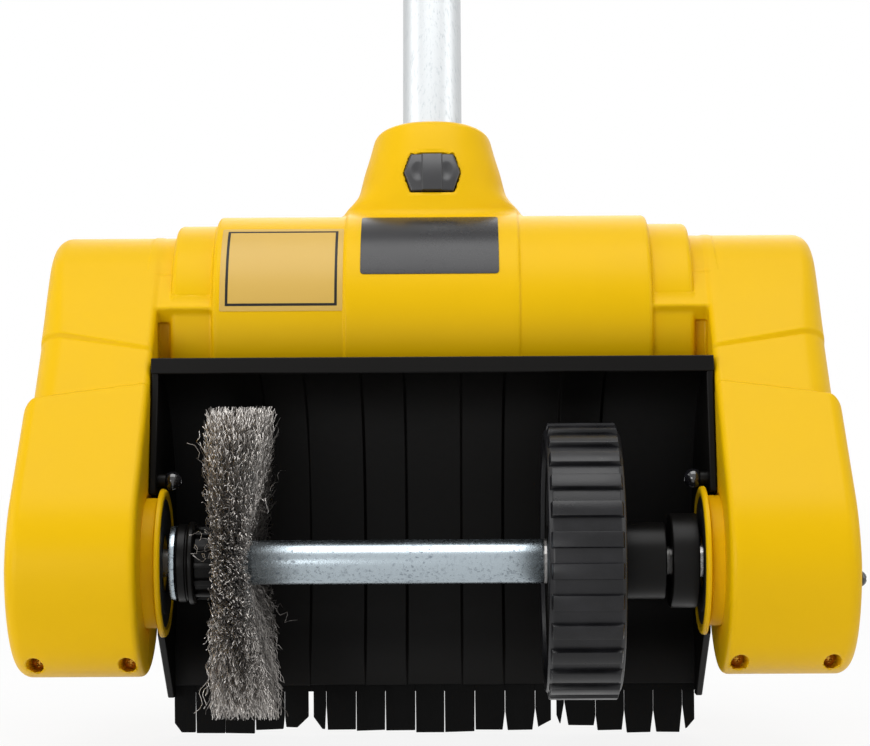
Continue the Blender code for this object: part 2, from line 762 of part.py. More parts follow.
    # Holes through the walls
    holes = [
        rod("tube_bore", TUBE_RADIUS + GAP, TUBE_FOOT - GAP, NECK_TOP + CLEAR, pole,
            matrix=UPRIGHT, steps=24),
        rods("nose_screw_holes", nose_screw_places(), SCREW_SHANK + GAP,
             -NOSE_SCREW_LENGTH - 0.0005, from_nose, head, TO_FRONT),
        rods("nose_screw_recesses", nose_screw_places(), RECESS_RADIUS, 0, from_nose, head,
             TO_FRONT),
        rods("rear_screw_holes", rear_screw_places(), SCREW_SHANK + GAP,
             -REAR_SCREW_LENGTH - 0.0005, from_barrel, head, TO_BACK),
        rods("rear_screw_recesses", rear_screw_places(), RECESS_RADIUS, 0, from_barrel, head,
             TO_BACK),
        rod("jackshaft_seat", JACKSHAFT_RADIUS + GAP, JACKSHAFT_LEFT - GAP,
            OUTPUT_RIGHT + GAP, jackshaft_axis),
        rod("output_seat", OUTPUT_RADIUS + GAP, PULLEY_LEFT - 0.003, OUTPUT_RIGHT + GAP, spindle_axis),
        rods("flange_holes", [(-ARM_INNER, 0, 0), (ARM_INNER + 0.003, 0, 0)],
             FLANGE_NECK_RADIUS + GAP, -0.005, 0.008, head, SIDEWAYS, 20),
        rods("hood_screw_holes", hood_screw_places(ARM_INNER), SCREW_SHANK + GAP, -0.009, 0.009,
             head, SIDEWAYS),
        button_prism("button_hole", PLAY, BUTTON_FLOOR, from_button),
        rod("pin_hole", PIN_RADIUS + GAP, 0.010, SOCKET_RADIUS + 0.002, button_axis,
            matrix=TO_FRONT),
        rods("side_screw_hole", [SIDE_SCREW_PLACE], SCREW_SHANK + GAP,
             -SIDE_SCREW_LENGTH - 0.0005, 0.003, head, SIDEWAYS),
    ]
    vents = boxes(
        "vents",
        [(side * (MOTOR_CASE_HALF - 0.0155 - 0.008 * i), BARREL_RADIUS - 0.007, 0.012)
         for side in (-1, 1) for i in range(3)],
        (0.004, 0.03, 0.026), motor_axis,
    )
    pad_root = BARREL_RADIUS - 0.0025
    pad = boxes("rest_pad", [(0, (pad_root + PAD_FACE) / 2, 0)],
                (0.056, PAD_FACE - pad_root, 0.026), motor_axis)

    widest = NOSE_OUTER + CLEAR
    front = plate("housing_front", [region(-0.0002)], -widest, widest, head, YELLOW)
    combine(front, "INTERSECT", barrel)
    combine(front, "DIFFERENCE", cavity, *holes)
    rear = plate("housing_rear", [region(0.0002)], -widest, widest, head, YELLOW)
    combine(rear, "INTERSECT", barrel)
    combine(rear, "UNION", pad)
    combine(rear, "DIFFERENCE", cavity, vents, *holes)


# Spindle
def wire_brush():
    """A ring whose outer face is set with strands that fan out to both sides."""
    rows, columns = 5, 32
    middle = BRUSH_LEFT + BRUSH_WIDTH / 2
    bore = HUB_RADIUS + GAP
    shape = bmesh.new()
    profile = [(bore, BRUSH_LEFT + BRUSH_WIDTH)]
    profile += [
        (BRUSH_RING_RADIUS, BRUSH_LEFT + BRUSH_WIDTH * (1 - row / rows))
        for row in range(rows + 1)
    ]
    profile.append((bore, BRUSH_LEFT))
    corners = [shape.verts.new((radius, 0, along)) for radius, along in profile]
    edges = [
        shape.edges.new((corner, corners[(i + 1) % len(corners)]))
        for i, corner in enumerate(corners)
    ]
    bmesh.ops.spin(
        shape, geom=corners + edges, cent=(0, 0, 0), axis=(0, 0, 1), angle=math.tau,
        steps=columns, use_merge=True,
    )
    bmesh.ops.remove_doubles(shape, verts=shape.verts, dist=1e-6)
    bmesh.ops.recalc_face_normals(shape, faces=shape.faces)
    backing = [
        face for face in shape.faces
        if all(math.hypot(v.co.x, v.co.y) > BRUSH_RING_RADIUS - 1e-5 for v in face.verts)
    ]
    seats = bmesh.ops.triangulate(shape, faces=backing)["faces"]
    bmesh.ops.inset_individual(shape, faces=seats, thickness=0.0004, use_even_offset=True)
    for seat in seats:
        spread(seat.verts, seat.calc_center_median(), seat.calc_center_median(), STRAND_RADIUS)
    chance = random.Random(7)
    for tip in bmesh.ops.extrude_discrete_faces(shape, faces=seats)["faces"]:
        root = tip.calc_center_median()
        angle = math.atan2(root.y, root.x) + chance.uniform(-0.012, 0.012)
        radius = BRUSH_RADIUS * chance.uniform(0.955, 1)
        along = middle + BRUSH_SHIFT + (root.z - middle) * BRUSH_FAN
        along += chance.uniform(-0.0008, 0.0008)
        end = Vector((radius * math.cos(angle), radius * math.sin(angle), along))
        spread(tip.verts, root, end, STRAND_RADIUS)
    return add("wire_brush", mesh_from("wire_brush", shape), spindle_axis, SIDEWAYS, WIRE)


def spread(corners, middle, place, radius):
    """Moves a small face's corners to stand this far round a new place."""
    for corner in corners:
        corner.co = place + (corner.co - middle).normalized() * radius


def spindle():
    hub_right = BRUSH_LEFT + BRUSH_WIDTH
    hub_left = WASHER_LEFT + WASHER_THICKNESS + GAP
    neck = hub_left + HUB_FLANGE
    rod("spindle_shaft", SHAFT_RADIUS, SHAFT_LEFT, DOG_RIGHT - DOG_DEPTH - GAP, spindle_axis,
        STEEL, steps=16)
    ring("zinc_washer", BORE_RADIUS, WASHER_RADIUS, WASHER_LEFT, WASHER_LEFT + WASHER_THICKNESS,
         spindle_axis, ZINC)
    turned("brush_hub", [
        (BORE_RADIUS, hub_right),
        (HUB_RADIUS, hub_right),
        (HUB_RADIUS, neck),
        (HUB_FLANGE_RADIUS - 0.001, neck),
        (HUB_FLANGE_RADIUS, neck - 0.001),
        (HUB_FLANGE_RADIUS, hub_left + 0.0045),
        (HUB_FLANGE_RADIUS - 0.0015, hub_left + 0.0035),
        (HUB_FLANGE_RADIUS, hub_left + 0.0025),
        (HUB_FLANGE_RADIUS - 0.001, hub_left),
        (BORE_RADIUS, hub_left),
    ], spindle_axis, BLACK, steps=20)
    wire_brush()
    ring("spacer_tube", BORE_RADIUS, SPACER_RADIUS, hub_right + GAP, WHEEL_LEFT - GAP,
         spindle_axis, ZINC)
    wheel_right = WHEEL_LEFT + WHEEL_WIDTH
    bush_outer = SHAFT_RADIUS + GAP + BUSH_WALL
    ring("wheel_bush", BORE_RADIUS, bush_outer, WHEEL_LEFT, wheel_right, spindle_axis, STEEL)
    turned("spindle_collar", [
        (BORE_RADIUS, wheel_right + GAP + COLLAR_LENGTH),
        (COLLAR_RADIUS - 0.001, wheel_right + GAP + COLLAR_LENGTH),
        (COLLAR_RADIUS, wheel_right + COLLAR_LENGTH - 0.001),
        (COLLAR_RADIUS, wheel_right + PLAY),
        (BORE_RADIUS, wheel_right + PLAY),
    ], spindle_axis, BLACK)
    turned("drive_dog", [
        (OUTPUT_RADIUS + GAP, DOG_RIGHT),
        (DOG_RADIUS, DOG_RIGHT),
        (DOG_RADIUS, DOG_LEFT + 0.001),
        (DOG_RADIUS - 0.001, DOG_LEFT),
        (BORE_RADIUS, DOG_LEFT),
        (BORE_RADIUS, DOG_RIGHT - DOG_DEPTH),
        (OUTPUT_RADIUS + GAP, DOG_RIGHT - DOG_DEPTH),
    ], spindle_axis, BLACK)
    rod("output_shaft", OUTPUT_RADIUS, DOG_RIGHT - DOG_DEPTH + GAP, OUTPUT_RIGHT, spindle_axis,
        STEEL, steps=16)
    pulley("driven_pulley", DRIVEN_PULLEY_RADIUS, OUTPUT_RADIUS + GAP, spindle_axis)

    rim = WHEEL_RADIUS - TYRE_THICKNESS
    turned("wheel_hub", [
        (bush_outer + GAP, wheel_right - 0.001),
        (COLLAR_RADIUS, wheel_right - 0.001),
        (COLLAR_RADIUS + 0.002, wheel_right - 0.006),
        (rim - 0.007, wheel_right - 0.010),
        (rim - 0.005, wheel_right - 0.002),
        (rim - GAP, wheel_right - 0.002),
        (rim - GAP, WHEEL_LEFT + 0.002),
        (rim - 0.005, WHEEL_LEFT + 0.002),
        (rim - 0.007, WHEEL_LEFT + 0.010),
        (COLLAR_RADIUS, WHEEL_LEFT + 0.006),
        (COLLAR_RADIUS - 0.002, WHEEL_LEFT + 0.001),
        (bush_outer + GAP, WHEEL_LEFT + 0.001),
    ], wheel_axis, BLACK, steps=20)
    tread = []
    for i in range(WHEEL_BARS):
        for share, radius in ((-0.27, 0), (-0.25, 1), (0.25, 1), (0.27, 0)):
            angle = math.tau * (i + share) / WHEEL_BARS
            reach = WHEEL_RADIUS - WHEEL_BAR_HEIGHT * (1 - radius)
            tread.append((reach * math.cos(angle), reach * math.sin(angle)))
    plate("wheel_tyre", [tread, circle((0, 0), rim, 20)], WHEEL_LEFT, wheel_right, wheel_axis,
          TYRE)


def pulley(name, radius, bore, parent):
    right = PULLEY_LEFT + PULLEY_WIDTH
    return turned(name, [
        (bore, right),
        (radius + BELT_THICKNESS + 0.0005, right),
        (radius + BELT_THICKNESS + 0.0005, right - PULLEY_RIM),
        (radius, right - PULLEY_RIM),
        (radius, PULLEY_LEFT + PULLEY_RIM),
        (radius + BELT_THICKNESS + 0.0005, PULLEY_LEFT + PULLEY_RIM),
        (radius + BELT_THICKNESS + 0.0005, PULLEY_LEFT),
        (bore, PULLEY_LEFT),
    ], parent, STEEL)


def flange(side, word, bore):
    """A yellow bearing flange, clamped by the shells round its neck, and its ball bearing."""
    matrix = SIDEWAYS if side > 0 else SIDEWAYS @ FLIP
    inside = ARM_INNER + WALL + GAP
    end = inside + 0.0025
    turned(word + "_bearing_flange", [
        (BEARING_RADIUS + GAP, end),
        (FLANGE_NECK_RADIUS + 0.0025, end),
        (FLANGE_NECK_RADIUS + 0.0025, inside),
        (FLANGE_NECK_RADIUS, inside),
        (FLANGE_NECK_RADIUS, FLANGE_FACE + FLANGE_DISC),
        (FLANGE_DISC_RADIUS, FLANGE_FACE + FLANGE_DISC - 0.0004),
        (FLANGE_DISC_RADIUS - 0.001, FLANGE_FACE),
        (0.012, FLANGE_FACE),
        (0.012, FLANGE_FACE + 0.0032),
        (BEARING_RADIUS + GAP, FLANGE_FACE + 0.0032),
    ], head, YELLOW, matrix, steps=20)
    left = FLANGE_FACE + 0.0035
    ring(word + "_ball_bearing", bore, BEARING_RADIUS, left, left + BEARING_WIDTH, head, STEEL,
         matrix)


# Drive
def drive():
    to_gear = math.atan2(JACKSHAFT_UP - MOTOR_UP, JACKSHAFT_BACK - MOTOR_BACK)
    to_pinion = to_gear + math.pi
    pinion = gear_outline(PINION_TEETH, to_gear, 3)
    plate("motor_pinion", [pinion, circle((0, 0), MOTOR_SHAFT_RADIUS + GAP, 12)],
          GEAR_LEFT - PLAY, GEAR_LEFT + GEAR_WIDTH + PLAY, motor_axis, STEEL)
    gear = gear_outline(GEAR_TEETH, to_pinion + math.pi / GEAR_TEETH, 2)
    plate("reduction_gear", [gear, circle((0, 0), JACKSHAFT_RADIUS + GAP, 12)],
          GEAR_LEFT, GEAR_LEFT + GEAR_WIDTH, jackshaft_axis, STEEL)
    rod("jackshaft", JACKSHAFT_RADIUS, JACKSHAFT_LEFT, OUTPUT_RIGHT, jackshaft_axis, STEEL,
        steps=12)
    pulley("drive_pulley", DRIVE_PULLEY_RADIUS, JACKSHAFT_RADIUS + GAP, jackshaft_axis)
    place = (JACKSHAFT_BACK, JACKSHAFT_UP)
    inner = around(place, DRIVE_PULLEY_RADIUS + GAP, (0, 0), DRIVEN_PULLEY_RADIUS + GAP, 8, 14)
    outer = around(
        place, DRIVE_PULLEY_RADIUS + BELT_THICKNESS, (0, 0),
        DRIVEN_PULLEY_RADIUS + BELT_THICKNESS, 8, 14,
    )
    slack = PULLEY_RIM + PLAY
    plate("drive_belt", [outer, inner], PULLEY_LEFT + slack, PULLEY_LEFT + PULLEY_WIDTH - slack,
          head, RUBBER)


# Motor
def motor():
    case_inner = STATOR_RADIUS + GAP
    core = ARMATURE_RADIUS
    turned("motor_stator", [
        (core + AIR_GAP + 0.004, STATOR_HALF),
        (STATOR_RADIUS - 0.004, STATOR_HALF),
        (STATOR_RADIUS, STATOR_HALF - 0.010),
        (STATOR_RADIUS, 0.010 - STATOR_HALF),
        (STATOR_RADIUS - 0.004, -STATOR_HALF),
        (core + AIR_GAP + 0.004, -STATOR_HALF),
        (core + AIR_GAP, 0.010 - STATOR_HALF),
        (core + AIR_GAP, STATOR_HALF - 0.010),
    ], motor_axis, COPPER, steps=24)
    shaft_end = GEAR_LEFT + GEAR_WIDTH + 0.002
    turned("motor_armature", [
        (0, shaft_end),
        (MOTOR_SHAFT_RADIUS, shaft_end),
        (MOTOR_SHAFT_RADIUS, 0.031),
        (core - 0.005, 0.031),
        (core, 0.025),
        (core, -0.025),
        (core - 0.005, -0.031),
        (MOTOR_SHAFT_RADIUS + 0.002, -0.031),
        (MOTOR_SHAFT_RADIUS + 0.002, COMMUTATOR_RIGHT),
        (COMMUTATOR_RADIUS, COMMUTATOR_RIGHT),
        (COMMUTATOR_RADIUS, COMMUTATOR_LEFT),
        (MOTOR_SHAFT_RADIUS, COMMUTATOR_LEFT),
        (MOTOR_SHAFT_RADIUS, -MOTOR_CASE_HALF - 0.002),
        (0, -MOTOR_CASE_HALF - 0.002),
    ], motor_axis, STEEL)
    for side, word in ((-1, "left"), (1, "right")):
        matrix = SIDEWAYS if side > 0 else SIDEWAYS @ FLIP
        turned(word + "_motor_bracket", [
            (MOTOR_SHAFT_RADIUS + GAP, MOTOR_CASE_HALF),
            (MOTOR_CASE_RADIUS, MOTOR_CASE_HALF),
            (MOTOR_CASE_RADIUS, 0.022),
            (case_inner, 0.022),
            (case_inner, MOTOR_CASE_HALF - 0.003),
            (0.010, MOTOR_CASE_HALF - 0.003),
            (0.010, MOTOR_CASE_HALF - 0.008),
            (MOTOR_SHAFT_RADIUS + GAP, MOTOR_CASE_HALF - 0.008),
        ], motor_axis, ALUMINIUM, matrix, steps=24)
    fan = rod("motor_fan", 0.0075, FAN_LEFT, FAN_RIGHT, motor_axis, BLACK, steps=16)
    blades = []
    for i in range(FAN_BLADES):
        blade = boxes("fan_blade_" + str(i + 1), [(0.0205, 0, (FAN_LEFT + FAN_RIGHT) / 2)],
                      (0.028, 0.002, FAN_RIGHT - FAN_LEFT - 0.002), motor_axis,
                      SIDEWAYS @ Matrix.Rotation(math.tau * i / FAN_BLADES, 4, "Z"))
        blades.append(blade)
    disc = rod("fan_disc", 0.035, FAN_LEFT + 0.0005, FAN_LEFT + 0.003, motor_axis)
    combine(fan, "UNION", disc, *blades)
    bore = rod("fan_bore", MOTOR_SHAFT_RADIUS + GAP, FAN_LEFT - 0.01, FAN_RIGHT + 0.01, motor_axis,
               steps=16)
    combine(fan, "DIFFERENCE", bore)
    for sign, word in ((-1, "front"), (1, "rear")):
        low = COMMUTATOR_RADIUS + GAP
        outline = box_outline(
            min(sign * low, sign * (case_inner - 2 * GAP)),
            max(sign * low, sign * (case_inner - 2 * GAP)), -0.004, 0.004,
        )
        plate(word + "_carbon_brush", [outline], COMMUTATOR_LEFT + 0.002,
              COMMUTATOR_RIGHT - 0.002, motor_axis, BLACK)


# Hood, flap and their fasteners
def hood_ring(along, rise):
    steps = 12
    outer = arc((0, 0), HOOD_OUTER, LIP_ANGLE, HOOD_LOW_ANGLE, steps)
    outer += [(HOOD_BACK + HOOD_WALL, HOOD_STRIP_TOP), (HOOD_BACK + HOOD_WALL, HOOD_FOOT)]
    inner = [(HOOD_BACK - rise, HOOD_FOOT), (HOOD_BACK - rise, HOOD_STRIP_TOP)]
    inner += arc((0, 0), HOOD_RADIUS - rise, HOOD_LOW_ANGLE, LIP_ANGLE - LIP_ARC, steps)
    lip = HOOD_OUTER - LIP_DEPTH
    inner += [
        (lip * math.cos(LIP_ANGLE - LIP_ARC), lip * math.sin(LIP_ANGLE - LIP_ARC)),
        (lip * math.cos(LIP_ANGLE), lip * math.sin(LIP_ANGLE)),
    ]
    return [(along, y, z) for y, z in outer + inner]


def hood():
    slope = 0.0006
    stations = [(-HOOD_HALF, 0)]
    for k in (-1.5, -0.5, 0.5, 1.5):
        middle = k * RIB_PITCH
        stations += [
            (middle - RIB_HALF - slope, 0), (middle - RIB_HALF, RIB_RISE),
            (middle + RIB_HALF, RIB_RISE), (middle + RIB_HALF + slope, 0),
        ]
    stations.append((HOOD_HALF, 0))
    shell = loft("hood", [hood_ring(along, rise) for along, rise in stations], head, BLACK)
    middle_radius = HOOD_RADIUS + HOOD_WALL / 2
    notch = FLANGE_NECK_RADIUS + 0.0015
    wall_middle = HOOD_BACK + HOOD_WALL / 2
    side_outline = arc((0, 0), middle_radius, LIP_ANGLE - 0.01, HOOD_LOW_ANGLE, 12)
    side_outline += [(wall_middle, HOOD_STRIP_TOP), (wall_middle, HOOD_FOOT + 0.001)]
    side_outline += [(0.066, -0.058), (0.057, -0.0345)]
    side_outline += arc((0, 0), notch, math.radians(-31), math.radians(90), 8)
    side_outline.append((0, notch + 0.003))
    inner_face = HOOD_HALF - HOOD_WALL
    tools = []
    for side, word in ((-1, "left"), (1, "right")):
        low, high = sorted((side * inner_face, side * (HOOD_HALF - GAP)))
        tools.append(plate(word + "_hood_side", [side_outline], low, high, head))
        root, end = sorted((side * (inner_face + 0.0006), side * (inner_face - HOOD_STUB)))
        stub = [(0, HOOD_SCREW_BACK, HOOD_SCREW_UP)]
        tools.append(rods(word + "_hood_stub", stub, 0.004, root, end, head, SIDEWAYS))
    combine(shell, "UNION", *tools)
    holes = rods("hood_holes", hood_screw_places(inner_face), SCREW_SHANK + GAP, -0.008, 0.008,
                 head, SIDEWAYS)
    combine(shell, "DIFFERENCE", holes)


def rubber_flap():
    """A rubber strip behind the hood's foot, cut into teeth in three groups."""
    top = HOOD_STRIP_TOP - PLAY
    outline = [(FLAP_HALF, top), (-FLAP_HALF, top)]
    edges = (-FLAP_HALF, -FLAP_MIDDLE_HALF, FLAP_MIDDLE_HALF, FLAP_HALF)
    for group, (start, end) in enumerate(zip(edges, edges[1:])):
        left = start + (FLAP_GROUP_GAP / 2 if group else 0)
        right = end - (FLAP_GROUP_GAP / 2 if group < 2 else 0)
        count = round((right - left) / FLAP_TOOTH)
        width = (right - left) / count
        for i in range(count):
            near, far = left + i * width, left + (i + 1) * width
            slit_near = 0 if i == 0 else FLAP_SLIT / 2
            slit_far = 0 if i == count - 1 else FLAP_SLIT / 2
            splay_near = FLAP_SPLAY if i == 0 else slit_near + 0.0006
            splay_far = FLAP_SPLAY if i == count - 1 else slit_far + 0.0006
            outline += [
                (near + slit_near, FLAP_SLIT_TOP), (near + splay_near, FLAP_TIP),
                (far - splay_far, FLAP_TIP), (far - slit_far, FLAP_SLIT_TOP),
            ]
    back = HOOD_BACK + HOOD_WALL + GAP
    plate("rubber_flap", [outline], -back - FLAP_THICKNESS, -back, head, RUBBER, TO_FRONT)
    back += FLAP_THICKNESS + GAP
    strip = box_outline(
        0.006 - FLAP_HALF, FLAP_HALF - 0.006, HOOD_FOOT + 0.001, HOOD_STRIP_TOP - 0.001,
    )
    plate("flap_clamp_strip", [strip], -back - STRIP_THICKNESS, -back, head, BLACK, TO_FRONT)


def nose_screw_places():
    return [
        (side * along, NOSE_SEAT, NOSE_SCREW_UP)
        for side in (-1, 1) for along in (ARM_INNER + 0.006, NOSE_OUTER - 0.0145)
    ]


def rear_screw_places():
    return [
        (side * REAR_SCREW_OUT, MOTOR_BACK + REAR_SEAT, MOTOR_UP + REAR_SCREW_UP)
        for side in (-1, 1)
    ]


def hood_screw_places(out):
    return [(side * out, HOOD_SCREW_BACK, HOOD_SCREW_UP) for side in (-1, 1)]


def screw(name, place, matrix, length, parent, outer=SCREW_HEAD):
    """A domed screw that comes out along local Z from its seat."""
    seat = Matrix.Translation(place) @ matrix @ Matrix.Translation((0, 0, GAP))
    return turned(name, [
        (0, SCREW_HEAD_HEIGHT),
        (outer * 0.65, SCREW_HEAD_HEIGHT * 0.85),
        (outer, SCREW_HEAD_HEIGHT * 0.3),
        (outer, 0),
        (SCREW_SHANK, 0),
        (SCREW_SHANK, -length),
        (0, -length),
    ], parent, BLACK, seat, steps=10)


def fasteners():
    for i, place in enumerate(nose_screw_places()):
        screw("nose_screw_" + str(i + 1), place, TO_FRONT, NOSE_SCREW_LENGTH, head)
    for i, place in enumerate(rear_screw_places()):
        screw("rear_screw_" + str(i + 1), place, TO_BACK, REAR_SCREW_LENGTH, head)
    left, right = hood_screw_places(HOOD_HALF - HOOD_WALL - HOOD_STUB)
    length = HOOD_WALL + HOOD_STUB + 0.006
    screw("left_hood_screw", left, SIDEWAYS, length, head, 0.0035)
    screw("right_hood_screw", right, SIDEWAYS @ FLIP, length, head, 0.0035)
    screw("side_screw", SIDE_SCREW_PLACE, SIDEWAYS, SIDE_SCREW_LENGTH, head, 0.0026)


# Tube release
def hexagon(grow):
    wide, flat, tall = BUTTON_WIDE + grow, BUTTON_FLAT + grow * 0.6, BUTTON_TALL + grow
    return [(wide, 0), (flat, tall), (-flat, tall), (-wide, 0), (-flat, -tall), (flat, -tall)]


def button_prism(name, grow, low, high, material=None):
    return plate(name, [hexagon(grow)], low, high, button_axis, material, TO_FRONT)


def tube_release():
    foot = BUTTON_FACE - 0.0072
    button = button_prism("tube_release_button", 0, foot, BUTTON_FACE, BLACK)
    lens = plate("button_lens", [circle((0, 0), 0.0055, 16)], BUTTON_FACE - 0.001,
                 BUTTON_FACE + 0.0012, button_axis, None, TO_FRONT)
    well = ring("button_well", STEM_RADIUS, SPRING_RADIUS + 0.0014, foot - 0.001,
                BUTTON_FACE - 0.002, button_axis, matrix=TO_FRONT, steps=16)
    stem = rod("button_stem", STEM_RADIUS - 0.0001, PIN_TOP + GAP, BUTTON_FACE - 0.0015,
               button_axis, matrix=TO_FRONT, steps=12)
    combine(button, "UNION", lens)
    combine(button, "DIFFERENCE", well)
    combine(button, "UNION", stem)
    low = BUTTON_FLOOR + GAP + SPRING_WIRE
    high = BUTTON_FACE - 0.002 - GAP - SPRING_WIRE
    count = SPRING_TURNS * 8
    points = []
    for i in range(count + 1):
        angle = math.tau * i / 8
        points.append((
            SPRING_RADIUS * math.cos(angle), -(low + (high - low) * i / count),
            SPRING_RADIUS * math.sin(angle),
        ))
    pipe("button_spring", points, SPRING_WIRE, button_axis, STEEL, 0)
    turned("snap_pin", [
        (0, PIN_TOP),
        (PIN_RADIUS - 0.0008, PIN_TOP),
        (PIN_RADIUS, PIN_TOP - 0.0008),
        (PIN_RADIUS, TUBE_RADIUS - TUBE_WALL - 0.0015),
        (PIN_RADIUS + 0.0012, TUBE_RADIUS - TUBE_WALL - 0.0015),
        (PIN_RADIUS + 0.0012, TUBE_RADIUS - TUBE_WALL - 0.003),
        (0, TUBE_RADIUS - TUBE_WALL - 0.003),
    ], pin_axis, STEEL, TO_FRONT, 12)


# Tubes and their clamp
def tubes():
    lower = ring("lower_tube", TUBE_RADIUS - TUBE_WALL, TUBE_RADIUS, TUBE_FOOT, LOWER_TUBE_TOP,
                 pole, ALUMINIUM, UPRIGHT, 24)
    hole = rod("tube_pin_hole", PIN_RADIUS + GAP, 0.008, TUBE_RADIUS + 0.004, button_axis,
               matrix=TO_FRONT, steps=12)
    combine(lower, "DIFFERENCE", hole)
    ring("upper_tube", UPPER_TUBE_RADIUS - UPPER_TUBE_WALL, UPPER_TUBE_RADIUS, UPPER_TUBE_FOOT,
         HANDLE_FOOT + TUBE_IN_HANDLE, telescope_axis, ALUMINIUM, UPRIGHT, 20)
    outer = TUBE_RADIUS + COLLAR_WALL
    slide = UPPER_TUBE_RADIUS + GAP
    step = LOWER_TUBE_TOP + GAP
    collar = turned("telescope_collar", [
        (slide, COLLAR_TOP),
        (outer - 0.003, COLLAR_TOP),
        (outer, COLLAR_TOP - 0.003),
        (outer, COLLAR_FOOT + 0.012),
        (outer - 0.003, COLLAR_FOOT),
        (TUBE_RADIUS + GAP, COLLAR_FOOT),
        (TUBE_RADIUS + GAP, step),
        (slide, step),
    ], pole, BLACK, UPRIGHT, 20)
    lug_outline = around((-LEVER_FRONT, LEVER_UP), 0.0045, (0.0025 - outer, LEVER_UP), 0.0045)
    lug = plate("collar_lug", [lug_outline], -LUG_HALF, LUG_HALF, pole)
    trunnion = rod("collar_trunnion", LEVER_PIN_RADIUS, 0.001 - LEVER_HALF, LEVER_HALF - 0.001,
                   lever_axis, steps=12)
    combine(collar, "UNION", lug, trunnion)
    lever = plate("clamp_lever", [around((0, 0), 0.006, (-0.001, -LEVER_LENGTH), 0.003)],
                  -LEVER_HALF, LEVER_HALF, lever_axis, BLACK)
    slot = rod("lever_slot", 0.0105, -LUG_HALF - PLAY, LUG_HALF + PLAY, lever_axis, steps=20)
    bore = rod("lever_bore", LEVER_PIN_RADIUS + GAP, -LEVER_HALF - 0.001, LEVER_HALF + 0.001,
               lever_axis, steps=12)
    combine(lever, "DIFFERENCE", slot, bore)


# Second handle
def second_handle():
    clamp_outline = rounded(
        box_outline(-AUX_PIVOT - 0.010, UPPER_TUBE_RADIUS + 0.006, AUX_UP - 0.0135,
                    AUX_UP + 0.0135), 0.004, 2)
    clamp = plate("handle_clamp", [clamp_outline], -AUX_HALF, AUX_HALF, telescope_axis, BLACK)
    bore = rod("clamp_bore", UPPER_TUBE_RADIUS + GAP, AUX_UP - 0.03, AUX_UP + 0.03,
               telescope_axis, matrix=UPRIGHT, steps=20)
    bolt_hole = rod("clamp_bolt_hole", BOLT_RADIUS + GAP, -0.03, 0.03, bow_axis, steps=12)
    slit = boxes("clamp_slit", [(0, -0.004, 0)], (0.0016, 0.060, 0.04), bow_axis)
    combine(clamp, "DIFFERENCE", bore, bolt_hole, slit)

    inner = AUX_HALF + GAP
    outer = inner + EYE_THICKNESS
    bow_middle = inner + EYE_THICKNESS / 2
    height = (BOW_REACH - BOW_FOOT) / 2
    start = -math.acos(bow_middle / BOW_HALF)
    path = [(bow_middle, 0.0065)]
    for i in range(17):
        angle = start + (math.pi - 2 * start) * i / 16
        path.append((
            BOW_HALF * math.cos(angle), BOW_FOOT + height * (1 + math.sin(angle)),
        ))
    path.append((-bow_middle, 0.0065))
    points = [(x, -reach * math.cos(BOW_RISE), reach * math.sin(BOW_RISE)) for x, reach in path]
    bow = pipe("bow_handle", points, BOW_RADIUS, bow_axis, BLACK)
    eyes = [
        plate(word + "_eye", [circle((0, 0), EYE_RADIUS, 16)], low, low + EYE_THICKNESS, bow_axis)
        for word, low in (("left", -outer), ("right", inner))
    ]
    hole = rod("eye_holes", BOLT_RADIUS + GAP, -0.04, 0.04, bow_axis, steps=12)
    combine(bow, "UNION", *eyes)
    combine(bow, "DIFFERENCE", hole)
    turned("handle_bolt", [
        (0, outer + 0.0045),
        (0.006, outer + 0.0045),
        (0.006, outer + GAP),
        (BOLT_RADIUS, outer + GAP),
        (BOLT_RADIUS, -outer - 0.012),
        (0, -outer - 0.012),
    ], knob_axis, STEEL, SIDEWAYS @ FLIP, 12)
    grip = [
        ((0.015 + 0.0018 * math.cos(6 * a)) * math.cos(a),
         (0.015 + 0.0018 * math.cos(6 * a)) * math.sin(a))
        for a in (math.tau * i / 36 for i in range(36))
    ]
    plate("handle_knob", [grip, circle((0, 0), BOLT_RADIUS + GAP, 12)], outer + GAP,
          outer + GAP + KNOB_LENGTH, knob_axis, BLACK)


# Main handle
def quarter_round(end, radius):
    """Stations (along, inset) that round an edge at this end."""
    return [
        (end - radius + radius * math.sin(angle), radius * (1 - math.cos(angle)))
        for angle in (math.radians(30 * k) for k in range(4))
    ]


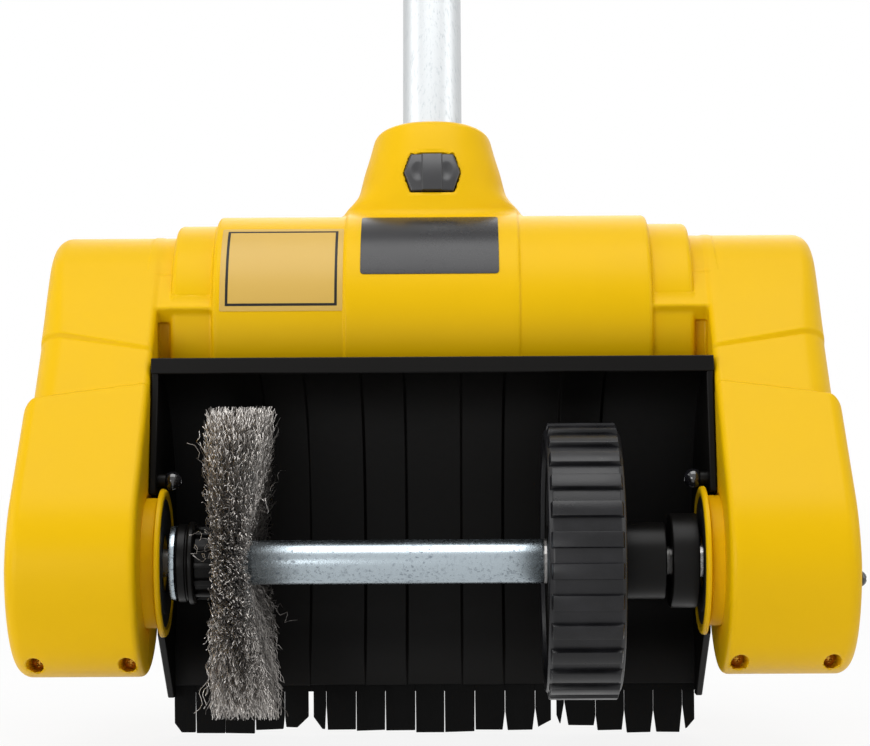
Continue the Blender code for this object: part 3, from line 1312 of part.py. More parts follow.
def handle_tools(grip_front, guard_back):
    deep = HANDLE_HALF - WALL
    opening = box_outline(guard_back, grip_front, HANDLE_FOOT + 0.058, HANDLE_TOP - 0.024)
    stations = [
        (HANDLE_HALF + 0.001, -0.005), (HANDLE_HALF - 0.002, -0.0015), (HANDLE_HALF - 0.006, 0),
    ]
    stations += [(-along, inset) for along, inset in reversed(stations)]
    hand_hole = loft("hand_hole", [
        [(along, y, z) for y, z in rounded(drawn_in(opening, inset), 0.012 - inset)]
        for along, inset in stations
    ], telescope_axis)
    grip_hollow = rounded(box_outline(
        grip_front + WALL, HANDLE_BACK - WALL, HANDLE_FOOT + 0.052, HANDLE_TOP - 2 * WALL,
    ), 0.0015, 1)
    guard_hollow = rounded(box_outline(
        WALL - HANDLE_FRONT, guard_back - WALL, HANDLE_FOOT + 0.062, HANDLE_TOP - 0.028,
    ), 0.005, 2)
    return [
        hand_hole,
        plate("grip_hollow", [grip_hollow], -deep, deep, telescope_axis),
        plate("guard_hollow", [guard_hollow], -deep, deep, telescope_axis),
        rod("handle_tube_bore", UPPER_TUBE_RADIUS + GAP, HANDLE_FOOT - 0.01,
            HANDLE_FOOT + TUBE_IN_HANDLE + GAP, telescope_axis, matrix=UPRIGHT, steps=20),
        boxes("trigger_slot", [(0, grip_front + WALL / 2, TRIGGER_UP + 0.018)],
              (2 * (TRIGGER_HALF + PLAY), WALL + 0.004, 0.050), telescope_axis),
        rod("trigger_pin_hole", TRIGGER_PIN_RADIUS + GAP, -deep - 0.0018, deep + 0.0018,
            trigger_axis, steps=12),
        rod("lock_hole", LOCK_RADIUS + GAP, -HANDLE_HALF - 0.01, 0.001 - deep, lock_axis,
            steps=16),
        rod("gland_hole", GLAND_RADIUS + GAP, HANDLE_TOP - 0.01, HANDLE_TOP + 0.01, gland_axis,
            matrix=UPRIGHT, steps=16),
        rods("handle_screw_hole", [HANDLE_SCREW_PLACE], SCREW_SHANK + GAP, -0.027, 0.01,
             telescope_axis, SIDEWAYS @ FLIP),
        rods("handle_screw_recess", [HANDLE_SCREW_PLACE], RECESS_RADIUS, 0, 0.01,
             telescope_axis, SIDEWAYS @ FLIP),
    ]


def main_handle():
    deep = HANDLE_HALF - WALL
    grip_front = HANDLE_BACK - GRIP_THICKNESS
    guard_back = GUARD_THICKNESS - HANDLE_FRONT
    corners = [
        (-0.019, HANDLE_FOOT), (0.019, HANDLE_FOOT), (HANDLE_BACK, HANDLE_FOOT + 0.045),
        (HANDLE_BACK, HANDLE_TOP), (-HANDLE_FRONT, HANDLE_TOP),
        (-HANDLE_FRONT, HANDLE_FOOT + 0.050),
    ]
    tools = handle_tools(grip_front, guard_back)
    for side, word in ((-1, "left"), (1, "right")):
        rings = [
            [
                (side * along, y, z)
                for y, z in rounded(drawn_in(corners, inset), HANDLE_ROUND * 2 - inset)
            ]
            for along, inset in [(GAP / 2, 0)] + quarter_round(HANDLE_HALF, HANDLE_ROUND)
        ]
        shell = loft(word + "_handle_shell", rings, telescope_axis, YELLOW)
        combine(shell, "DIFFERENCE", *tools)
    screw("handle_screw", HANDLE_SCREW_PLACE, SIDEWAYS @ FLIP, 0.026, telescope_axis)

    finger = [
        (0.000, -0.0045), (-0.010, -0.004), (-0.0165, 0.004), (-0.0205, 0.020),
        (-0.0195, 0.034), (-0.014, 0.0395), (-0.004, 0.038), (0.004, 0.034), (0.0045, 0.002),
    ]
    trigger = plate("trigger", [finger], -TRIGGER_HALF, TRIGGER_HALF, trigger_axis, BLACK)
    pin = rod("trigger_pin", TRIGGER_PIN_RADIUS, -deep - 0.0012, deep + 0.0012, trigger_axis,
              steps=12)
    combine(trigger, "UNION", pin)
    box = rounded(box_outline(
        grip_front + WALL + GAP, HANDLE_BACK - WALL - GAP, SWITCH_LOW, SWITCH_HIGH,
    ), 0.002, 1)
    plate("switch_box", [box], 0.0015 - deep, deep - 0.0015, telescope_axis, BLACK)
    turned("lock_off_button", [
        (0, HANDLE_HALF + 0.0035),
        (LOCK_RADIUS - 0.001, HANDLE_HALF + 0.0035),
        (LOCK_RADIUS, HANDLE_HALF + 0.0025),
        (LOCK_RADIUS, deep - GAP),
        (LOCK_RADIUS + 0.0015, deep - GAP),
        (LOCK_RADIUS + 0.0015, deep - GAP - 0.0012),
        (0, deep - GAP - 0.0012),
    ], lock_axis, BLACK, SIDEWAYS @ FLIP, 16)
    low = HANDLE_TOP - 2 * WALL - GAP
    turned("cord_gland", [
        (GLAND_BORE, HANDLE_TOP + GLAND_RISE),
        (GLAND_BORE + 0.0018, HANDLE_TOP + GLAND_RISE),
        (GLAND_RADIUS + 0.0025, HANDLE_TOP + 0.003),
        (GLAND_RADIUS + 0.0025, HANDLE_TOP + GAP),
        (GLAND_RADIUS, HANDLE_TOP + GAP),
        (GLAND_RADIUS, low),
        (GLAND_RADIUS + 0.0015, low),
        (GLAND_RADIUS + 0.0015, low - 0.0022),
        (GLAND_BORE, low - 0.0022),
    ], gland_axis, BLACK, UPRIGHT, 16)


housing()
flange(-1, "left", SHAFT_RADIUS + GAP)
flange(1, "right", OUTPUT_RADIUS + GAP)
spindle()
drive()
motor()
hood()
rubber_flap()
fasteners()
tube_release()
tubes()
second_handle()
main_handle()
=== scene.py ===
# %% [markdown]
# # A power brush for paving joints
#
# A yellow motor housing with two arms carries a narrow wire brush and a ribbed support wheel on
# one spindle, under a black hood with a slit rubber flap. An aluminium tube leads up to a second
# handle and a D-handle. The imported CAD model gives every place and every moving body. This
# lesson dresses it: each cell makes one piece or one finish, and says why it is made that way.

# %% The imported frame
import math
import random
from functools import reduce

import bpy
import numpy as np
from mathutils import Matrix, Vector


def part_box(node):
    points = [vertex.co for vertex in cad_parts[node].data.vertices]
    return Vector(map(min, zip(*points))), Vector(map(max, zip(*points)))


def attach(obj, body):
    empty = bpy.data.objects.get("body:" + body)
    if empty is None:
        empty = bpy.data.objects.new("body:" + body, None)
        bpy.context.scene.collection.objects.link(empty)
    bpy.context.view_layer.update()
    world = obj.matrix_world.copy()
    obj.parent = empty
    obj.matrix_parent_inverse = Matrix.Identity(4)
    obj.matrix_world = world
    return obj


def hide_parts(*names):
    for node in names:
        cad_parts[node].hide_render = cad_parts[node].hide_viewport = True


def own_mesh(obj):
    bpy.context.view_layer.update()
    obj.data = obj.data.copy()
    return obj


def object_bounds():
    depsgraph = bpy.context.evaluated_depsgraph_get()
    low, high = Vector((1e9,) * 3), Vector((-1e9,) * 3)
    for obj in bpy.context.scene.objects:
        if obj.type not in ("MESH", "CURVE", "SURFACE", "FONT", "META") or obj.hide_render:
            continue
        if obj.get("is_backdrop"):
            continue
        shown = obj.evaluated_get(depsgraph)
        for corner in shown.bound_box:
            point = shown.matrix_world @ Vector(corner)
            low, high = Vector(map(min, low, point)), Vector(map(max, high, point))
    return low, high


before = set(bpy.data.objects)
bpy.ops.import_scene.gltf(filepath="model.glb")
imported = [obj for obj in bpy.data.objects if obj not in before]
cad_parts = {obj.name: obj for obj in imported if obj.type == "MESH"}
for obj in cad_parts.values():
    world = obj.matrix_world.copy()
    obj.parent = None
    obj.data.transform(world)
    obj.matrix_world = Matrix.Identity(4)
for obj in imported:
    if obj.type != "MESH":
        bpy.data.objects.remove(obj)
cad_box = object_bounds()

# %% [markdown]
# ## Frames that the pieces hang in
#
# The head is measured from the spindle's axis and the tube from the motor's axis. Turned pieces
# are drawn along Z and laid along X by one matrix. A finished mesh is moved to its place in
# the world at the end, so its object stays at the origin.

# %% Frames
shift = Matrix.Translation
low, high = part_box("wheel_tyre")
AXLE = Vector((0, (low.y + high.y) / 2, (low.z + high.z) / 2))
MOTOR = Vector((0, 0.088, 0.102))
LEAN = math.radians(19)
HEAD = shift(AXLE)
MOTOR_FRAME = HEAD @ shift(MOTOR)
POLE = MOTOR_FRAME @ Matrix.Rotation(-LEAN, 4, "X")
SIDEWAYS = Matrix(((0, 0, 1, 0), (1, 0, 0, 0), (0, 1, 0, 0), (0, 0, 0, 1)))
SPINDLE = HEAD @ SIDEWAYS
TO_FRONT = Matrix.Rotation(math.radians(90), 4, "X")
TO_BACK = Matrix.Rotation(math.radians(-90), 4, "X")
FLIP = Matrix.Rotation(math.pi, 4, "X")
STILL = Matrix.Identity(4)
print("the spindle's axis stands at", [round(v, 4) for v in AXLE])

# %% [markdown]
# ## Node trees as Python expressions
#
# Shader trees and geometry trees are the same kind of graph. One class wraps an output socket
# and adds a Math node for each operator, so a pattern reads like a formula. Any other node
# comes from one method, which takes its type, its settings and the values or links of its
# sockets.

# %% A wrapped socket and its tree
class Value:
    def __init__(self, tree, socket):
        self.tree, self.socket = tree, socket

    def maths(self, operation, *others):
        return self.tree.node("ShaderNodeMath", {"operation": operation}, [self, *others])

    def __add__(self, other):
        return self.maths("ADD", other)

    def __sub__(self, other):
        return self.maths("SUBTRACT", other)

    def __mul__(self, other):
        return self.maths("MULTIPLY", other)

    def __truediv__(self, other):
        return self.maths("DIVIDE", other)

    def __rsub__(self, other):
        return self.tree.node("ShaderNodeMath", {"operation": "SUBTRACT"}, [other, self])

    __radd__ = __add__
    __rmul__ = __mul__


class Tree:
    def __init__(self, tree):
        self.tree = tree

    def node(self, kind, settings=None, inputs=None, output=0):
        """Adds a node, sets it up, fills or links its sockets, and wraps one output."""
        node = self.tree.nodes.new(kind)
        for name, value in (settings or {}).items():
            setattr(node, name, value)
        pairs = enumerate(inputs) if isinstance(inputs, list) else (inputs or {}).items()
        for name, value in pairs:
            if isinstance(value, Value):
                self.tree.links.new(value.socket, node.inputs[name])
            else:
                node.inputs[name].default_value = value
        return Value(self, node.outputs[output])

    def seen_rays(self):
        """One for the rays that see the background as plain white, zero for those that light."""
        rays = self.node("ShaderNodeLightPath").socket.node.outputs
        kinds = ("Is Camera Ray", "Is Glossy Ray", "Is Transmission Ray")
        camera_ray, glossy, through = (Value(self, rays[kind]) for kind in kinds)
        return camera_ray + glossy + through


print("trees are ready")

# %% [markdown]
# ## Finishes
#
# Every finish is a Principled BSDF whose colour, roughness and normal vary with procedural
# patterns on Object coordinates, which are in metres here. What is the same all over is set on
# the shader's own socket.

# %% A finish and its patterns
class Finish(Tree):
    def __init__(self, name, **constants):
        self.material = bpy.data.materials.new(name)
        self.material.use_nodes = True
        super().__init__(self.material.node_tree)
        self.shader = self.tree.nodes["Principled BSDF"]
        for socket, value in constants.items():
            self.shader.inputs[socket.replace("_", " ")].default_value = value
        self.place = self.node("ShaderNodeTexCoord", output="Object")

    def noise(self, scale, detail=3, stretch=None, roughness=0.5):
        place = self.place
        if stretch:
            place = self.node("ShaderNodeMapping", {}, {"Vector": place, "Scale": stretch})
        return self.node("ShaderNodeTexNoise", {}, {
            "Vector": place, "Scale": scale, "Detail": detail, "Roughness": roughness,
        })

    def spread(self, value, start, end, low, high):
        """Maps a pattern's range onto low to high, and holds it there."""
        return self.node("ShaderNodeMapRange", {}, {
            "Value": value, "From Min": start, "From Max": end, "To Min": low, "To Max": high,
        })

    def blend(self, share, first, second):
        """Mixes two colours by a pattern."""
        mixed = self.node("ShaderNodeMix", {"data_type": "RGBA"}, {"Factor": share}, "Result")
        node = mixed.socket.node
        colours = [s for s in node.inputs if s.type == "RGBA"]
        for socket, colour in zip(colours, (first, second)):
            socket.default_value = (*colour, 1)
        return Value(self, [s for s in node.outputs if s.type == "RGBA"][0])

    def bump(self, height, depth):
        return self.node("ShaderNodeBump", {}, {"Height": height, "Distance": depth})

    def feed(self, **links):
        for name, value in links.items():
            self.tree.links.new(value.socket, self.shader.inputs[name.replace("_", " ")])
        return self.material


print("finishes are ready")

# %% [markdown]
# Moulded plastic has a fine spark-eroded grain that spreads the highlights, slow waves where
# the melt cooled unevenly, and a little dust. One recipe gives the yellow shells and the black
# parts, with their own colour, gloss and depth of grain.

# %% Moulded plastic
def moulded(name, colour, roughness, grain=0.00002, grain_scale=1400, tint=0.04, gloss=0.5):
    finish = Finish(name, Specular_IOR_Level=gloss)
    waves = finish.noise(17, 2)
    fine = finish.noise(grain_scale, 2)
    shade = finish.spread(waves, 0.3, 0.7, 0, 1)
    darker = [value * (1 - tint) for value in colour]
    lighter = [min(1, value * (1 + tint)) for value in colour]
    dust = finish.spread(finish.noise(260, 4, roughness=0.7), 0.5, 0.8, 0, 0.06)
    return finish.feed(
        Base_Color=finish.blend(shade, darker, lighter),
        Roughness=finish.spread(waves, 0.25, 0.75, roughness - 0.03, roughness + 0.03) + dust,
        Normal=finish.bump(fine, grain),
    )


YELLOW = moulded(
    "yellow_moulded_plastic", (0.765, 0.455, 0.0), 0.40, 0.000014, tint=0.015, gloss=0.12,
)
BLACK = moulded("black_moulded_plastic", (0.0035, 0.0032, 0.0030), 0.34, 0.00002, gloss=0.13)
# The hood's black is a little darker than the other black plastic. This is painted shade for the
# dim inside of the hood.
HOOD_SHADED_BLACK = moulded(
    "hood_black_with_painted_shade", (0.0032, 0.0028, 0.0025), 0.40, 0.00002, 900, gloss=0.11,
)
SOFT_BLACK = moulded("soft_grip_black", (0.016, 0.016, 0.017), 0.72, 0.00006, 1100)
GLOSS_BLACK = moulded("button_gloss_black", (0.014, 0.014, 0.016), 0.36, 0.000004, gloss=0.6)
PLATE_BLACK = moulded("plate_satin_black", (0.010, 0.010, 0.012), 0.26, 0.000004, gloss=0.34)
LABEL_YELLOW = moulded(
    "label_pale_yellow", (0.60, 0.385, 0.085), 0.35, 0.000006, tint=0.02, gloss=0.25,
)
LABEL_INK = moulded("label_black_ink", (0.010, 0.010, 0.010), 0.4, 0.000004, gloss=0.2)
print("plastics are ready")

# %% [markdown]
# Rubber is duller and more uneven than plastic. The tyre has a bloom of grey dust on its bars,
# and the flap has fine cut marks down its length.

# %% Rubber
def rubber(name, colour, roughness, bloom, stretch=None, gloss=0.2):
    finish = Finish(name, Specular_IOR_Level=gloss)
    cloud = finish.noise(60, 5, stretch, 0.65)
    fine = finish.noise(1800, 3, stretch)
    dusty = finish.spread(cloud, 0.45, 0.75, 0, 0.5)
    return finish.feed(
        Base_Color=finish.blend(dusty, colour, bloom),
        Roughness=finish.spread(cloud, 0.3, 0.7, roughness - 0.08, roughness + 0.1),
        Normal=finish.bump(fine, 0.00004),
    )


TYRE = rubber("tyre_rubber", (0.005, 0.005, 0.006), 0.32, (0.018, 0.018, 0.021), gloss=0.30)
FLAP = rubber(
    "flap_rubber", (0.003, 0.003, 0.003), 0.62, (0.010, 0.0095, 0.009), (1, 1, 0.1), 0.07,
)
BELT = rubber("belt_rubber", (0.015, 0.015, 0.015), 0.6, (0.03, 0.03, 0.03))
SEAL = rubber("seal_rubber", (0.010, 0.010, 0.011), 0.5, (0.02, 0.02, 0.02))
print("rubbers are ready")

# %% [markdown]
# Zinc plating is bright with a cold cast and small dark blue and brown freckles. Drawn
# aluminium is satin, with faint lines along the tube. Turned steel is plain and a little oily.

# %% Metals
def metal(name, colour, dark, roughness, freckles, stretch=None, depth=0.00001):
    finish = Finish(name, Metallic=1.0)
    cloud = finish.noise(38, 4, stretch)
    spots = finish.spread(finish.noise(freckles, 4, stretch, 0.7), 0.52, 0.68, 0, 1)
    share = spots * finish.spread(cloud, 0.35, 0.65, 0.25, 1)
    return finish.feed(
        Base_Color=finish.blend(share, colour, dark),
        Roughness=share * 0.22 + finish.spread(cloud, 0.3, 0.7, roughness - 0.04, roughness),
        Normal=finish.bump(spots, depth),
    )


ZINC = metal("zinc_plate", (0.40, 0.46, 0.50), (0.10, 0.12, 0.15), 0.28, 620)
ALUMINIUM = metal(
    "satin_aluminium", (0.57, 0.59, 0.60), (0.46, 0.49, 0.51), 0.44, 900, (1, 1, 0.03), 0.000004,
)
STEEL = metal("turned_steel", (0.52, 0.51, 0.50), (0.25, 0.24, 0.23), 0.30, 500)
COPPER = metal("copper_winding", (0.72, 0.30, 0.14), (0.36, 0.12, 0.05), 0.34, 300, (6, 1, 1))
print("metals are ready")

# %% [markdown]
# The brush's wires are bright crimped steel, and each one has its own tone, from nearly black
# to silver. The tone is an attribute that the brush's tree stores for every wire.

# %% Brush wire
wire_finish = Finish("crimped_steel_wire", Metallic=0.92)
tone = wire_finish.node("ShaderNodeAttribute", {"attribute_name": "tone"}, output="Fac")
WIRE = wire_finish.feed(
    Base_Color=wire_finish.blend(tone, (0.050, 0.042, 0.036), (0.78, 0.74, 0.70)),
    Roughness=wire_finish.spread(tone, 0, 1, 0.5, 0.22),
)
print("the wire takes its tone from an attribute")

# %% [markdown]
# ## Making pieces
#
# A piece is a mesh drawn in its own frame, moved to its place and given its body and its finish;
# the CAD node that it stands for is hidden. A small live Bevel and weighted normals round the
# edges, as a mould does, where the mesh hasn't got its rounds already.

# %% A piece
SLOTS = {
    "yellow_plastic": [YELLOW], "black_plastic": [BLACK, HOOD_SHADED_BLACK, GLOSS_BLACK],
    "tyre_rubber": [TYRE], "flap_rubber": [FLAP], "zinc_plate": [ZINC], "brush_wire": [WIRE],
    "satin_aluminium": [ALUMINIUM], "bright_steel": [STEEL], "copper_winding": [COPPER],
}
SLOT_OF = {material: slot for slot, materials in SLOTS.items() for material in materials}


def settle(obj, body, material, nodes):
    """Parents a piece to its body and hides the CAD nodes that it stands for."""
    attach(obj, body)
    material in SLOT_OF
    if nodes:
        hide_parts(*nodes)
    return obj


def linked(name, data):
    """A new object in the scene."""
    obj = bpy.data.objects.new(name, data)
    bpy.context.scene.collection.objects.link(obj)
    return obj


def piece(name, mesh, body, material, *nodes, bevel=0.0, sharp=38, segments=2):
    mesh.name = name
    obj = linked(name, mesh)
    mesh.materials.clear()
    mesh.materials.append(material)
    mesh.shade_smooth()
    mesh.set_sharp_from_angle(angle=math.radians(sharp))
    if bevel:
        rounding = obj.modifiers.new("rounding", "BEVEL")
        rounding.width = bevel
        rounding.segments = segments
        rounding.limit_method = "ANGLE"
        rounding.angle_limit = math.radians(sharp)
        obj.modifiers.new("even_shading", "WEIGHTED_NORMAL").keep_sharp = True
    return settle(obj, body, material, nodes)


def mesh_of(points, faces, matrix=None):
    mesh = bpy.data.meshes.new("mesh")
    mesh.from_pydata([tuple(p) for p in points], [], [tuple(f) for f in faces])
    if matrix:
        mesh.transform(matrix)
    mesh.validate()
    return mesh


def skinned(rows, matrix):
    """A closed mesh over rows of as many points each, with its faces turned outwards."""
    count = len(rows[0])
    points = [Vector(point) for row in rows for point in row]
    faces = [list(range(count)), list(range(len(points) - count, len(points)))[::-1]]
    for k in range(0, len(points) - count, count):
        for i in range(count):
            j = (i + 1) % count
            faces.append((k + j, k + i, k + count + i, k + count + j))
    volume = sum(
        points[face[0]].dot(points[a].cross(points[b]))
        for face in faces for a, b in zip(face[1:], face[2:])
    )
    return mesh_of(points, faces if volume > 0 else [face[::-1] for face in faces], matrix)


def baked(mesh, kind, settings, inputs=None):
    """The mesh after one modifier, with a tree's inputs by their identifiers."""
    obj = linked("carrier", mesh)
    modifier = obj.modifiers.new("modifier", kind)
    for name, value in settings.items():
        setattr(modifier, name, value)
    for identifier, value in (inputs or {}).items():
        modifier[identifier] = value
    bpy.context.view_layer.update()
    graph = bpy.context.evaluated_depsgraph_get()
    result = bpy.data.meshes.new_from_object(obj.evaluated_get(graph))
    bpy.data.objects.remove(obj, do_unlink=True)
    return result


def joined(meshes):
    """Puts several closed meshes in one."""
    points, faces, start = [], [], 0
    for mesh in meshes:
        points += [v.co.copy() for v in mesh.vertices]
        faces += [[start + i for i in p.vertices] for p in mesh.polygons]
        start += len(mesh.vertices)
    return mesh_of(points, faces)


print("pieces are ready")

# %% [markdown]
# Most of the machine is turned, so one helper turns a profile of radius and height round Z.
# It rounds each corner of the profile first, which is cheaper and cleaner than a Bevel.

# %% Turned shapes
MOST_CUT = 0.42


def softened(profile, radius, closed, steps=3):
    """The profile with its corners rounded, as far as its edges are long enough."""
    result = []
    count = len(profile)
    for i, corner in enumerate(profile):
        here = Vector(corner)
        if not closed and i in (0, count - 1):
            result.append(here)
            continue
        before = Vector(profile[i - 1]) - here
        after = Vector(profile[(i + 1) % count]) - here
        cut = min(radius, MOST_CUT * before.length, MOST_CUT * after.length)
        start, end = here + before.normalized() * cut, here + after.normalized() * cut
        for k in range(steps + 1):
            share = k / steps
            result.append(
                start * (1 - share) ** 2 + here * 2 * share * (1 - share) + end * share ** 2
            )
    return result


def turned(profile, matrix, steps=72, edge=0.0004):
    """Turns a profile that runs down its outer side. One that starts on the axis is solid."""
    solid = profile[0][0] == 0
    corners = softened(profile, edge, not solid)
    points, faces, rings = [], [], []
    for corner in corners:
        if corner.x < 1e-7:
            rings.append([len(points)] * steps)
            points.append((0, 0, corner.y))
            continue
        rings.append(list(range(len(points), len(points) + steps)))
        for i in range(steps):
            angle = math.tau * i / steps
            points.append((corner.x * math.cos(angle), corner.x * math.sin(angle), corner.y))
    pairs = list(zip(rings, rings[1:]))
    if not solid:
        pairs.append((rings[-1], rings[0]))
    for upper, lower in pairs:
        for i in range(steps):
            j = (i + 1) % steps
            face = [upper[i], lower[i], lower[j], upper[j]]
            face = [v for k, v in enumerate(face) if v != face[k - 1]]
            if len(face) > 2:
                faces.append(face)
    return mesh_of(points, faces, matrix)


def ring(inner, outer, low, high, matrix, steps=72, edge=0.0004):
    return turned([(inner, high), (outer, high), (outer, low), (inner, low)], matrix, steps, edge)


print("turned shapes are ready")

# %% [markdown]
# Plates are an outline pushed from one height to another. Round outlines are drawn from arcs,
# as in the CAD.

# %% Plates and outlines
def prism(outline, low, high, matrix):
    return skinned([[(a, b, level) for a, b in outline] for level in (low, high)], matrix)


def arc(centre, radius, start, end, steps):
    return [
        (centre[0] + radius * math.cos(start + (end - start) * i / steps),
         centre[1] + radius * math.sin(start + (end - start) * i / steps))
        for i in range(steps + 1)
    ]


def box_outline(left, right, low, high):
    return [(left, low), (right, low), (right, high), (left, high)]


print("plates are ready")

# %% [markdown]
# ## Surfaces from distance rules
#
# The housing and the D-handle are organic mouldings: barrels, arms and a neck that flow into
# each other through fillets. Booleans and bevels break on such joints, and sculpting isn't
# exact. Here each form is a rule that gives the distance of any point to its surface. Two rules
# join or cut with a fillet of a set radius, and a simple surface net makes the mesh.

# %% Joining and cutting distance rules
def union(first, second, radius):
    """Joins two forms with a fillet."""
    near = np.hypot(np.maximum(radius - first, 0), np.maximum(radius - second, 0))
    return np.maximum(radius, np.minimum(first, second)) - near


def common(first, second, radius):
    """Keeps what both forms share, with a rounded edge."""
    near = np.hypot(np.maximum(radius + first, 0), np.maximum(radius + second, 0))
    return np.minimum(-radius, np.maximum(first, second)) + near


def meet(*forms):
    """Keeps what all the forms share, with sharp edges."""
    return reduce(np.maximum, forms)


def less(first, second, radius):
    """Cuts the second form out of the first."""
    return common(first, -second, radius)


def stadium(y, z, first, first_radius, second, second_radius):
    """Distance to the outline round two circles."""
    dy, dz = second[0] - first[0], second[1] - first[1]
    length = math.hypot(dy, dz)
    along = ((y - first[0]) * dy + (z - first[1]) * dz) / length
    across = np.abs((z - first[1]) * dy - (y - first[0]) * dz) / length
    slope = (first_radius - second_radius) / length
    level = math.sqrt(1 - slope ** 2)
    reach = level * along - slope * across
    side = level * across + slope * along - first_radius
    start = np.hypot(across, along) - first_radius
    end = np.hypot(across, along - length) - second_radius
    return np.where(reach < 0, start, np.where(reach > level * length, end, side))


def block(x, y, z, middle, half, radius):
    """Distance to a box with rounded edges."""
    parts = [np.abs(v - m) - (h - radius) for v, m, h in zip((x, y, z), middle, half)]
    outside = np.sqrt(sum(np.maximum(p, 0) ** 2 for p in parts))
    return outside + np.minimum(meet(*parts), 0) - radius


def smooth(value, start, end):
    share = np.clip((value - start) / (end - start), 0, 1)
    return share * share * (3 - 2 * share)


print("distance rules are ready")

# %% [markdown]
# A surface net looks at a grid of small cells. Each cell that the surface crosses gets one
# point, first at the mean of its edge crossings and then moved onto the exact surface. Each
# grid edge that the surface crosses gets a four-sided face between its four cells.

# %% Surface net
BLOCK = 16


def slopes(rule, points, step=0.00004):
    """The rule's value and its direction of steepest rise at each point."""
    x, y, z = points.T
    value = rule(x, y, z)
    rise = np.stack([
        rule(x + step, y, z) - value, rule(x, y + step, z) - value, rule(x, y, z + step) - value,
    ], axis=1) / step
    return value, rise


def net(rule, low, high, cell):
    """Points and quads of the surface where the rule is zero."""
    low, high = np.array(low, float), np.array(high, float)
    counts = np.ceil((high - low) / cell).astype(int) + 1
    axes = [low[k] + cell * np.arange(counts[k]) for k in range(3)]
    values = np.empty(counts, np.float32)
    starts = [np.arange(0, n, BLOCK) for n in counts]
    half = (BLOCK - 1) / 2
    middles = np.meshgrid(*[low[k] + cell * (starts[k] + half) for k in range(3)], indexing="ij")
    coarse = rule(*middles)
    for i, j, k in np.ndindex(coarse.shape):
        room = tuple(slice(starts[n][m], starts[n][m] + BLOCK) for n, m in enumerate((i, j, k)))
        if abs(coarse[i, j, k]) > (BLOCK + 1) * cell:
            values[room] = coarse[i, j, k]
            continue
        grid = np.meshgrid(*[axes[n][room[n]] for n in range(3)], indexing="ij")
        values[room] = rule(*grid)
    inside = values < 0
    total = np.zeros(counts - 1, np.int8)
    for i in (0, 1):
        for j in (0, 1):
            for k in (0, 1):
                total += inside[i:counts[0] - 1 + i, j:counts[1] - 1 + j, k:counts[2] - 1 + k]
    mixed = (total > 0) & (total < 8)
    cells = np.argwhere(mixed)
    number = np.full(mixed.shape, -1, np.int64)
    number[mixed] = np.arange(len(cells))
    place, hits, quads = np.zeros((len(cells), 3)), np.zeros(len(cells)), []
    for k in range(3):
        a, b = (k + 1) % 3, (k + 2) % 3
        step = np.eye(3, dtype=int)
        for i in (0, 1):
            for j in (0, 1):
                start = cells + i * step[a] + j * step[b]
                end = start + step[k]
                near, far = values[tuple(start.T)], values[tuple(end.T)]
                hit = (near < 0) != (far < 0)
                share = np.where(hit, near / np.where(hit, near - far, 1), 0)
                place += np.where(hit[:, None], start + share[:, None] * step[k], 0)
                hits += hit
        ends = [slice(None)] * 3
        starts = [slice(None)] * 3
        ends[k], starts[k] = slice(1, None), slice(None, -1)
        for axis in (a, b):
            ends[axis] = starts[axis] = slice(1, counts[axis] - 1)
        before, after = inside[tuple(starts)], inside[tuple(ends)]
        found = np.argwhere(before != after)
        edge = found + step[a] + step[b]
        corner = [edge - step[a] - step[b], edge - step[b], edge, edge - step[a]]
        quad = np.stack([number[tuple(c.T)] for c in corner], axis=1)
        outward = before[tuple(found.T)]
        quads.append(np.where(outward[:, None], quad, quad[:, ::-1]))
    points = low + cell * place / hits[:, None]
    value, rise = slopes(rule, points)
    move = -value[:, None] * rise / np.maximum((rise ** 2).sum(1), 0.2)[:, None]
    return points + np.clip(move, -0.4 * cell, 0.4 * cell), np.concatenate(quads)


print("the surface net is ready")

# %% [markdown]
# The net is far finer than flat areas need, so Decimate thins it. The shading then comes from
# the rule itself: each corner of each face takes the rule's own direction just inside that
# face, which keeps edges crisp and broad curves free of ripples.

# %% Moulded surface
INWARD_SHARE, INWARD_REACH = 0.35, 0.0005
LEAST_COSINE, TINY = 0.6, 1e-9


def listed(items, field, width=3, kind=float):
    """One field of all of a mesh's items, a row for each."""
    values = np.empty(len(items) * width, kind)
    items.foreach_get(field, values)
    return values.reshape(-1, width) if width > 1 else values


def moulding(name, rule, low, high, cell, most, matrix):
    points, quads = net(rule, low, high, cell)
    mesh = mesh_of(points, quads.tolist())
    mesh = baked(mesh, "DECIMATE", {"ratio": min(1, most / (2 * len(quads)))})
    mesh.shade_smooth()
    sides = listed(mesh.polygons, "loop_total", 1, np.int32)
    flat = np.repeat(listed(mesh.polygons, "normal"), sides, 0)
    here = listed(mesh.vertices, "co")[listed(mesh.loops, "vertex_index", 1, np.int32)]
    inwards = np.repeat(listed(mesh.polygons, "center"), sides, 0) - here
    reach = np.linalg.norm(inwards, axis=1, keepdims=True)
    here = here + inwards * np.minimum(INWARD_SHARE, INWARD_REACH / np.maximum(reach, TINY))
    rise = slopes(rule, here)[1]
    rise /= np.maximum(np.linalg.norm(rise, axis=1, keepdims=True), TINY)
    agree = (rise * flat).sum(1, keepdims=True) > LEAST_COSINE
    mesh.normals_split_custom_set(np.where(agree, rise, flat).tolist())
    mesh.transform(matrix)
    print(name, "has", len(mesh.polygons), "faces from", len(quads), "quads")
    return mesh


def moulded_piece(name, mesh, body, material, *nodes):
    """Like a piece, but it keeps the shading that the mesh came with."""
    obj = linked(name, mesh)
    mesh.materials.append(material)
    return settle(obj, body, material, nodes)


def mould(name, rule, corners, cell, most, matrix, body, material, *nodes):
    """A piece straight from its rule."""
    mesh = moulding(name, rule, *corners, cell, most, matrix)
    moulded_piece(name, mesh, body, material, *nodes)


CELL = 0.00115
print("cells of", CELL, "m")

